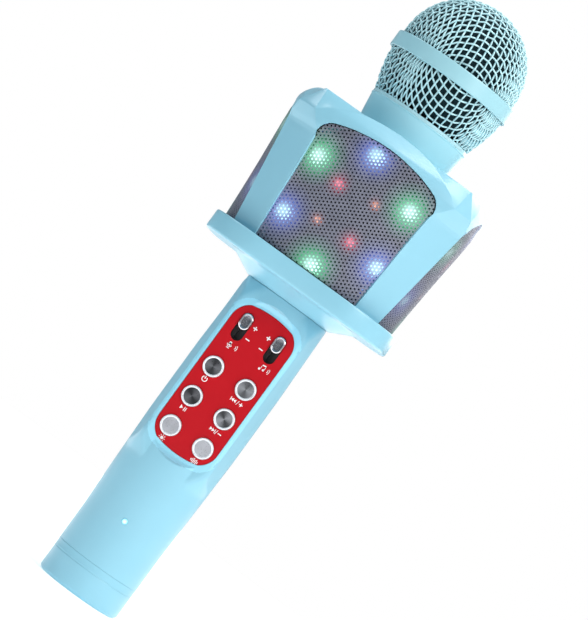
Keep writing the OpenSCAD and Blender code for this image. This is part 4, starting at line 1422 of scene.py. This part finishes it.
def add_foam():
    """Open-cell liner inside the mesh, with a pitted outer face."""
    rng = np.random.default_rng(7)
    foam_r, hollow_r = DOME_R - 2.0, 17.2
    pole, quarter = 0.001, math.pi / 2
    outer = [(foam_r * math.sin(a), DOME_Z + foam_r * math.cos(a))
             for a in np.linspace(pole, quarter, 60)]
    outer += fillet([(foam_r, DOME_Z), (foam_r - 0.2, 241.5), (22.2, 233), (19.0, 225.6), (14.8, 225.4)],
                    2.0, 8)[1:]
    inner = [(15.0, 226.0), (hollow_r, 241), (hollow_r, DOME_Z)]
    inner += [(hollow_r * math.cos(a), DOME_Z + hollow_r * math.sin(a))
              for a in np.linspace(0, quarter - pole, 16)[1:]]
    foam = turned("windscreen_liner", outer + inner, MATERIALS["foam"], 220)
    work = bmesh.new()
    work.from_mesh(foam.data)
    pits = rng.normal(0, 0.07 * MM, len(work.verts))
    for vert, pit in zip(work.verts, pits):
        vert.co += vert.normal * float(np.clip(pit, -0.18 * MM, 0.1 * MM))
    work.to_mesh(foam.data)
    work.free()
    stand_for(foam, "windscreen", "foam", "foam_windscreen")


# ---------- buttons and knobs ----------

def add_buttons():
    """Six caps with a spun face inside a bevelled ring. Some faces are painted darker than others, as
    painted reflection on one metal.
    """
    # side and row, name, brightness and contrast of the face's painted reflection
    keys = [(-1, 0, "power", 0.34, 1.2), (-1, 1, "play", 0.26, 1.2), (-1, 2, "light", 0.85, 0.15),
            (1, 0, "previous", 0.62, 1.0), (1, 1, "next", 0.62, 1.3), (1, 2, "effect", 0.92, 0.1)]
    ring_material = metal("bevel_ring", (0.86, 0.87, 0.9), 0.3, 0.35)
    # the profile's height runs inwards from the cap's top
    profile = [(0.01, 0.25), (3.1, 0.25)]
    profile += fillet([(3.22, 0.25), (3.4, 0.02), (3.9, 0.0), (4.1, 0.22), (4.1, 2.5)], 0.18, 3)
    profile += [(4.55, 2.52), (4.55, 3.3), (1.9, 3.3), (1.9, 4.6), (0.01, 4.6)]
    for side, row, name, bright, contrast in keys:
        body = turned(name + "_key_cap", profile, None, 96)
        face = spun_metal(name + "_face", shade((0.62, 0.62, 0.66), bright), contrast)
        body.data.materials.append(face)
        body.data.materials.append(ring_material)
        place = Vector((side * COLUMN_X * MM, BUTTON_TOP_Y * MM, BUTTON_Z[row] * MM))
        turn = Matrix.Translation(place) @ Matrix.Rotation(-math.pi / 2, 4, "X")
        for polygon in body.data.polygons:
            r = math.hypot(*polygon.center[:2]) / MM
            polygon.material_index = 0 if r < 3.16 and polygon.center[2] < 1 * MM else 1
        body.data.transform(turn)
        tidy_normals(body)
        sharpen(body, 30)
        stand_for(body, name + "_key", "button_metal", name + "_button")


def add_knobs():
    """Plated slide knobs with a rounded shoulder and a dished, darker top."""
    dish = metal("knob_dish", (0.30, 0.30, 0.33), 0.22)
    # half-width, half-length and depth of each level
    levels = [(2.30, 3.5, -13.2), (2.3, 3.5, -16.7), (2.25, 3.45, -17.0), (2.1, 3.3, -17.25),
              (1.85, 3.05, -17.38), (1.6, 2.8, -17.36), (1.4, 2.6, -17.2), (1.2, 2.4, -17.0),
              (0.3, 1.5, -16.9)]
    for side, name in ((-1, "mic"), (1, "music")):
        loops = []
        for half_w, half_l, y in levels:
            loop = []
            for sz, start in ((1, 0), (-1, 180)):
                for a in np.radians(np.linspace(start, start + 180, 20)):
                    loop.append((half_w * math.cos(a), y, sz * (half_l - half_w) + half_w * math.sin(a)))
            loops.append(np.array(loop) * MM)
        n = len(loops[0])
        points = np.concatenate(loops)
        faces = [(i * n + k, i * n + (k + 1) % n, (i + 1) * n + (k + 1) % n, (i + 1) * n + k)
                 for i in range(len(loops) - 1) for k in range(n)]
        faces += [tuple(range(n)), tuple(range(len(points) - 1, len(points) - n - 1, -1))]
        knob = new_object(name + "_knob_cap", points, faces, MATERIALS["knob_metal"])
        knob.data.materials.append(dish)
        for polygon in knob.data.polygons:
            x, y, _ = polygon.center
            if -17.3 * MM < y < -16.8 * MM and abs(x) < 1.75 * MM:
                polygon.material_index = 1
        stem = bmesh.new()
        stem.from_mesh(knob.data)
        bmesh.ops.create_cube(stem, size=1, matrix=Matrix.Translation((0, -12.1 * MM, 0)) @
                              Matrix.Diagonal((1.2 * MM, 2.3 * MM, 2.4 * MM, 1)))
        stem.to_mesh(knob.data)
        stem.free()
        knob.data.transform(Matrix.Translation((side * COLUMN_X * MM, 0, KNOB_Z * MM)))
        tidy_normals(knob)
        sharpen(knob, 35)
        stand_for(knob, name + "_knob", "knob_metal", name + "_volume_knob")


# ---------- printed marks ----------

def arc_band(cx, cz, r0, r1, start, finish, count=14):
    """A flat ring segment as quads, angles in degrees."""
    at = np.radians(np.linspace(start, finish, count))
    return [[(cx + r * math.cos(a), cz + r * math.sin(a))
             for r, a in ((r0, p), (r1, p), (r1, q), (r0, q))] for p, q in zip(at, at[1:])]


def bar(x0, z0, x1, z1):
    return [[(x0, z0), (x1, z0), (x1, z1), (x0, z1)]]


def disc(cx, cz, r):
    return [round_outline(cx, cz, r, 20)]


def marks():
    """Shapes of the panel's printed marks in X and Z: plain signs and no letters."""
    shapes = []

    def at(x, z, pieces, size=1.0):
        size *= 1.18
        for piece in pieces:
            shapes.append([(x + px * size, z + pz * size) for px, pz in piece])

    def arrow(x, way):
        return [[(x - 0.45 * way, -0.62), (x - 0.45 * way, 0.62), (x + 0.45 * way, 0.0)]]

    plus = bar(-0.65, -0.16, 0.65, 0.16) + bar(-0.16, 0.16, 0.16, 0.65) + bar(-0.16, -0.65, 0.16, -0.16)
    minus = bar(-0.65, -0.16, 0.65, 0.16)
    stroke = [[(-0.3, -0.8), (-0.1, -0.8), (0.3, 0.8), (0.1, 0.8)]]
    for side in (-1, 1):
        at(side * 3.1, 122.0, plus, 1.15)
        at(side * 3.1, 116.9, minus, 1.15)
    # a microphone and a note over the two slides' names
    at(-7.6, 111.6, disc(0, 0.55, 0.42) + bar(-0.42, 0.0, 0.42, 0.55) + disc(0, 0.0, 0.42)
       + arc_band(0, 0.0, 0.68, 0.86, 180, 360) + bar(-0.1, -1.15, 0.1, -0.8)
       + bar(-0.5, -1.3, 0.5, -1.12), 1.05)
    at(7.6, 111.6, disc(-0.6, -0.75, 0.36) + disc(0.75, -0.5, 0.36) + bar(-0.36, -0.7, -0.2, 0.95)
       + bar(0.95, -0.45, 1.11, 1.2) + [[(-0.36, 0.6), (1.11, 0.85), (1.11, 1.25), (-0.36, 1.0)]], 1.0)
    for side in (-1, 1):
        for k, r in enumerate((0.9, 1.5)):
            at(side * 7.6 + 1.6, 111.6, arc_band(0, 0, r, r + 0.2, -38, 38, 7), 0.9)
    low = 5.75
    x = -COLUMN_X
    at(x, BUTTON_Z[0] - low, arc_band(0, 0, 0.62, 0.86, 128, 412, 24) + bar(-0.12, 0.1, 0.12, 1.0), 1.15)
    at(x, BUTTON_Z[1] - low, arrow(-0.55, 1) + bar(0.25, -0.62, 0.5, 0.62)
       + bar(0.75, -0.62, 1.0, 0.62), 1.1)
    at(x, BUTTON_Z[2] - low, disc(0, 0, 0.48) + [
        [(r * math.cos(t) - w * math.sin(t), r * math.sin(t) + w * math.cos(t))
         for r, w in ((0.68, -0.1), (1.05, -0.1), (1.05, 0.1), (0.68, 0.1))]
        for t in np.radians(np.arange(0, 360, 45))], 1.1)
    x = COLUMN_X
    at(x - 1.5, BUTTON_Z[0] - low, bar(-1.15, -0.62, -0.93, 0.62) + arrow(-0.45, -1) + arrow(0.45, -1))
    at(x + 0.4, BUTTON_Z[0] - low, stroke)
    at(x + 1.9, BUTTON_Z[0] - low, plus)
    at(x - 1.5, BUTTON_Z[1] - low, arrow(-0.45, 1) + arrow(0.45, 1) + bar(0.93, -0.62, 1.15, 0.62))
    at(x + 0.4, BUTTON_Z[1] - low, stroke)
    at(x + 1.9, BUTTON_Z[1] - low, minus)
    heights = (0.35, 0.7, 1.0, 0.55, 0.85, 0.4)
    at(x, BUTTON_Z[2] - low, [piece for k, h in enumerate(heights)
                              for piece in bar(-1.4 + 0.5 * k, -h, -1.15 + 0.5 * k, h)], 0.95)
    return shapes


def add_marks():
    """The printed marks, as thin slips on the control panel."""
    points, faces = [], []
    for shape in marks():
        more_points, more_faces = prism(shape, PANEL_Y - 0.05, PANEL_Y + 0.1, len(points))
        points += more_points
        faces += more_faces
    ink = matte("print_ink", (0.82, 0.80, 0.80), 0.5, 2000, 0.005)
    prints = new_object("panel_marks", points, faces, ink, smooth=False)
    tidy_normals(prints)
    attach(prints, "body")


add_handle()
add_turned_pieces()
add_flange()
add_speaker_frame()
add_grilles()
add_mesh_head()
add_foam()
add_buttons()
add_knobs()
add_marks()
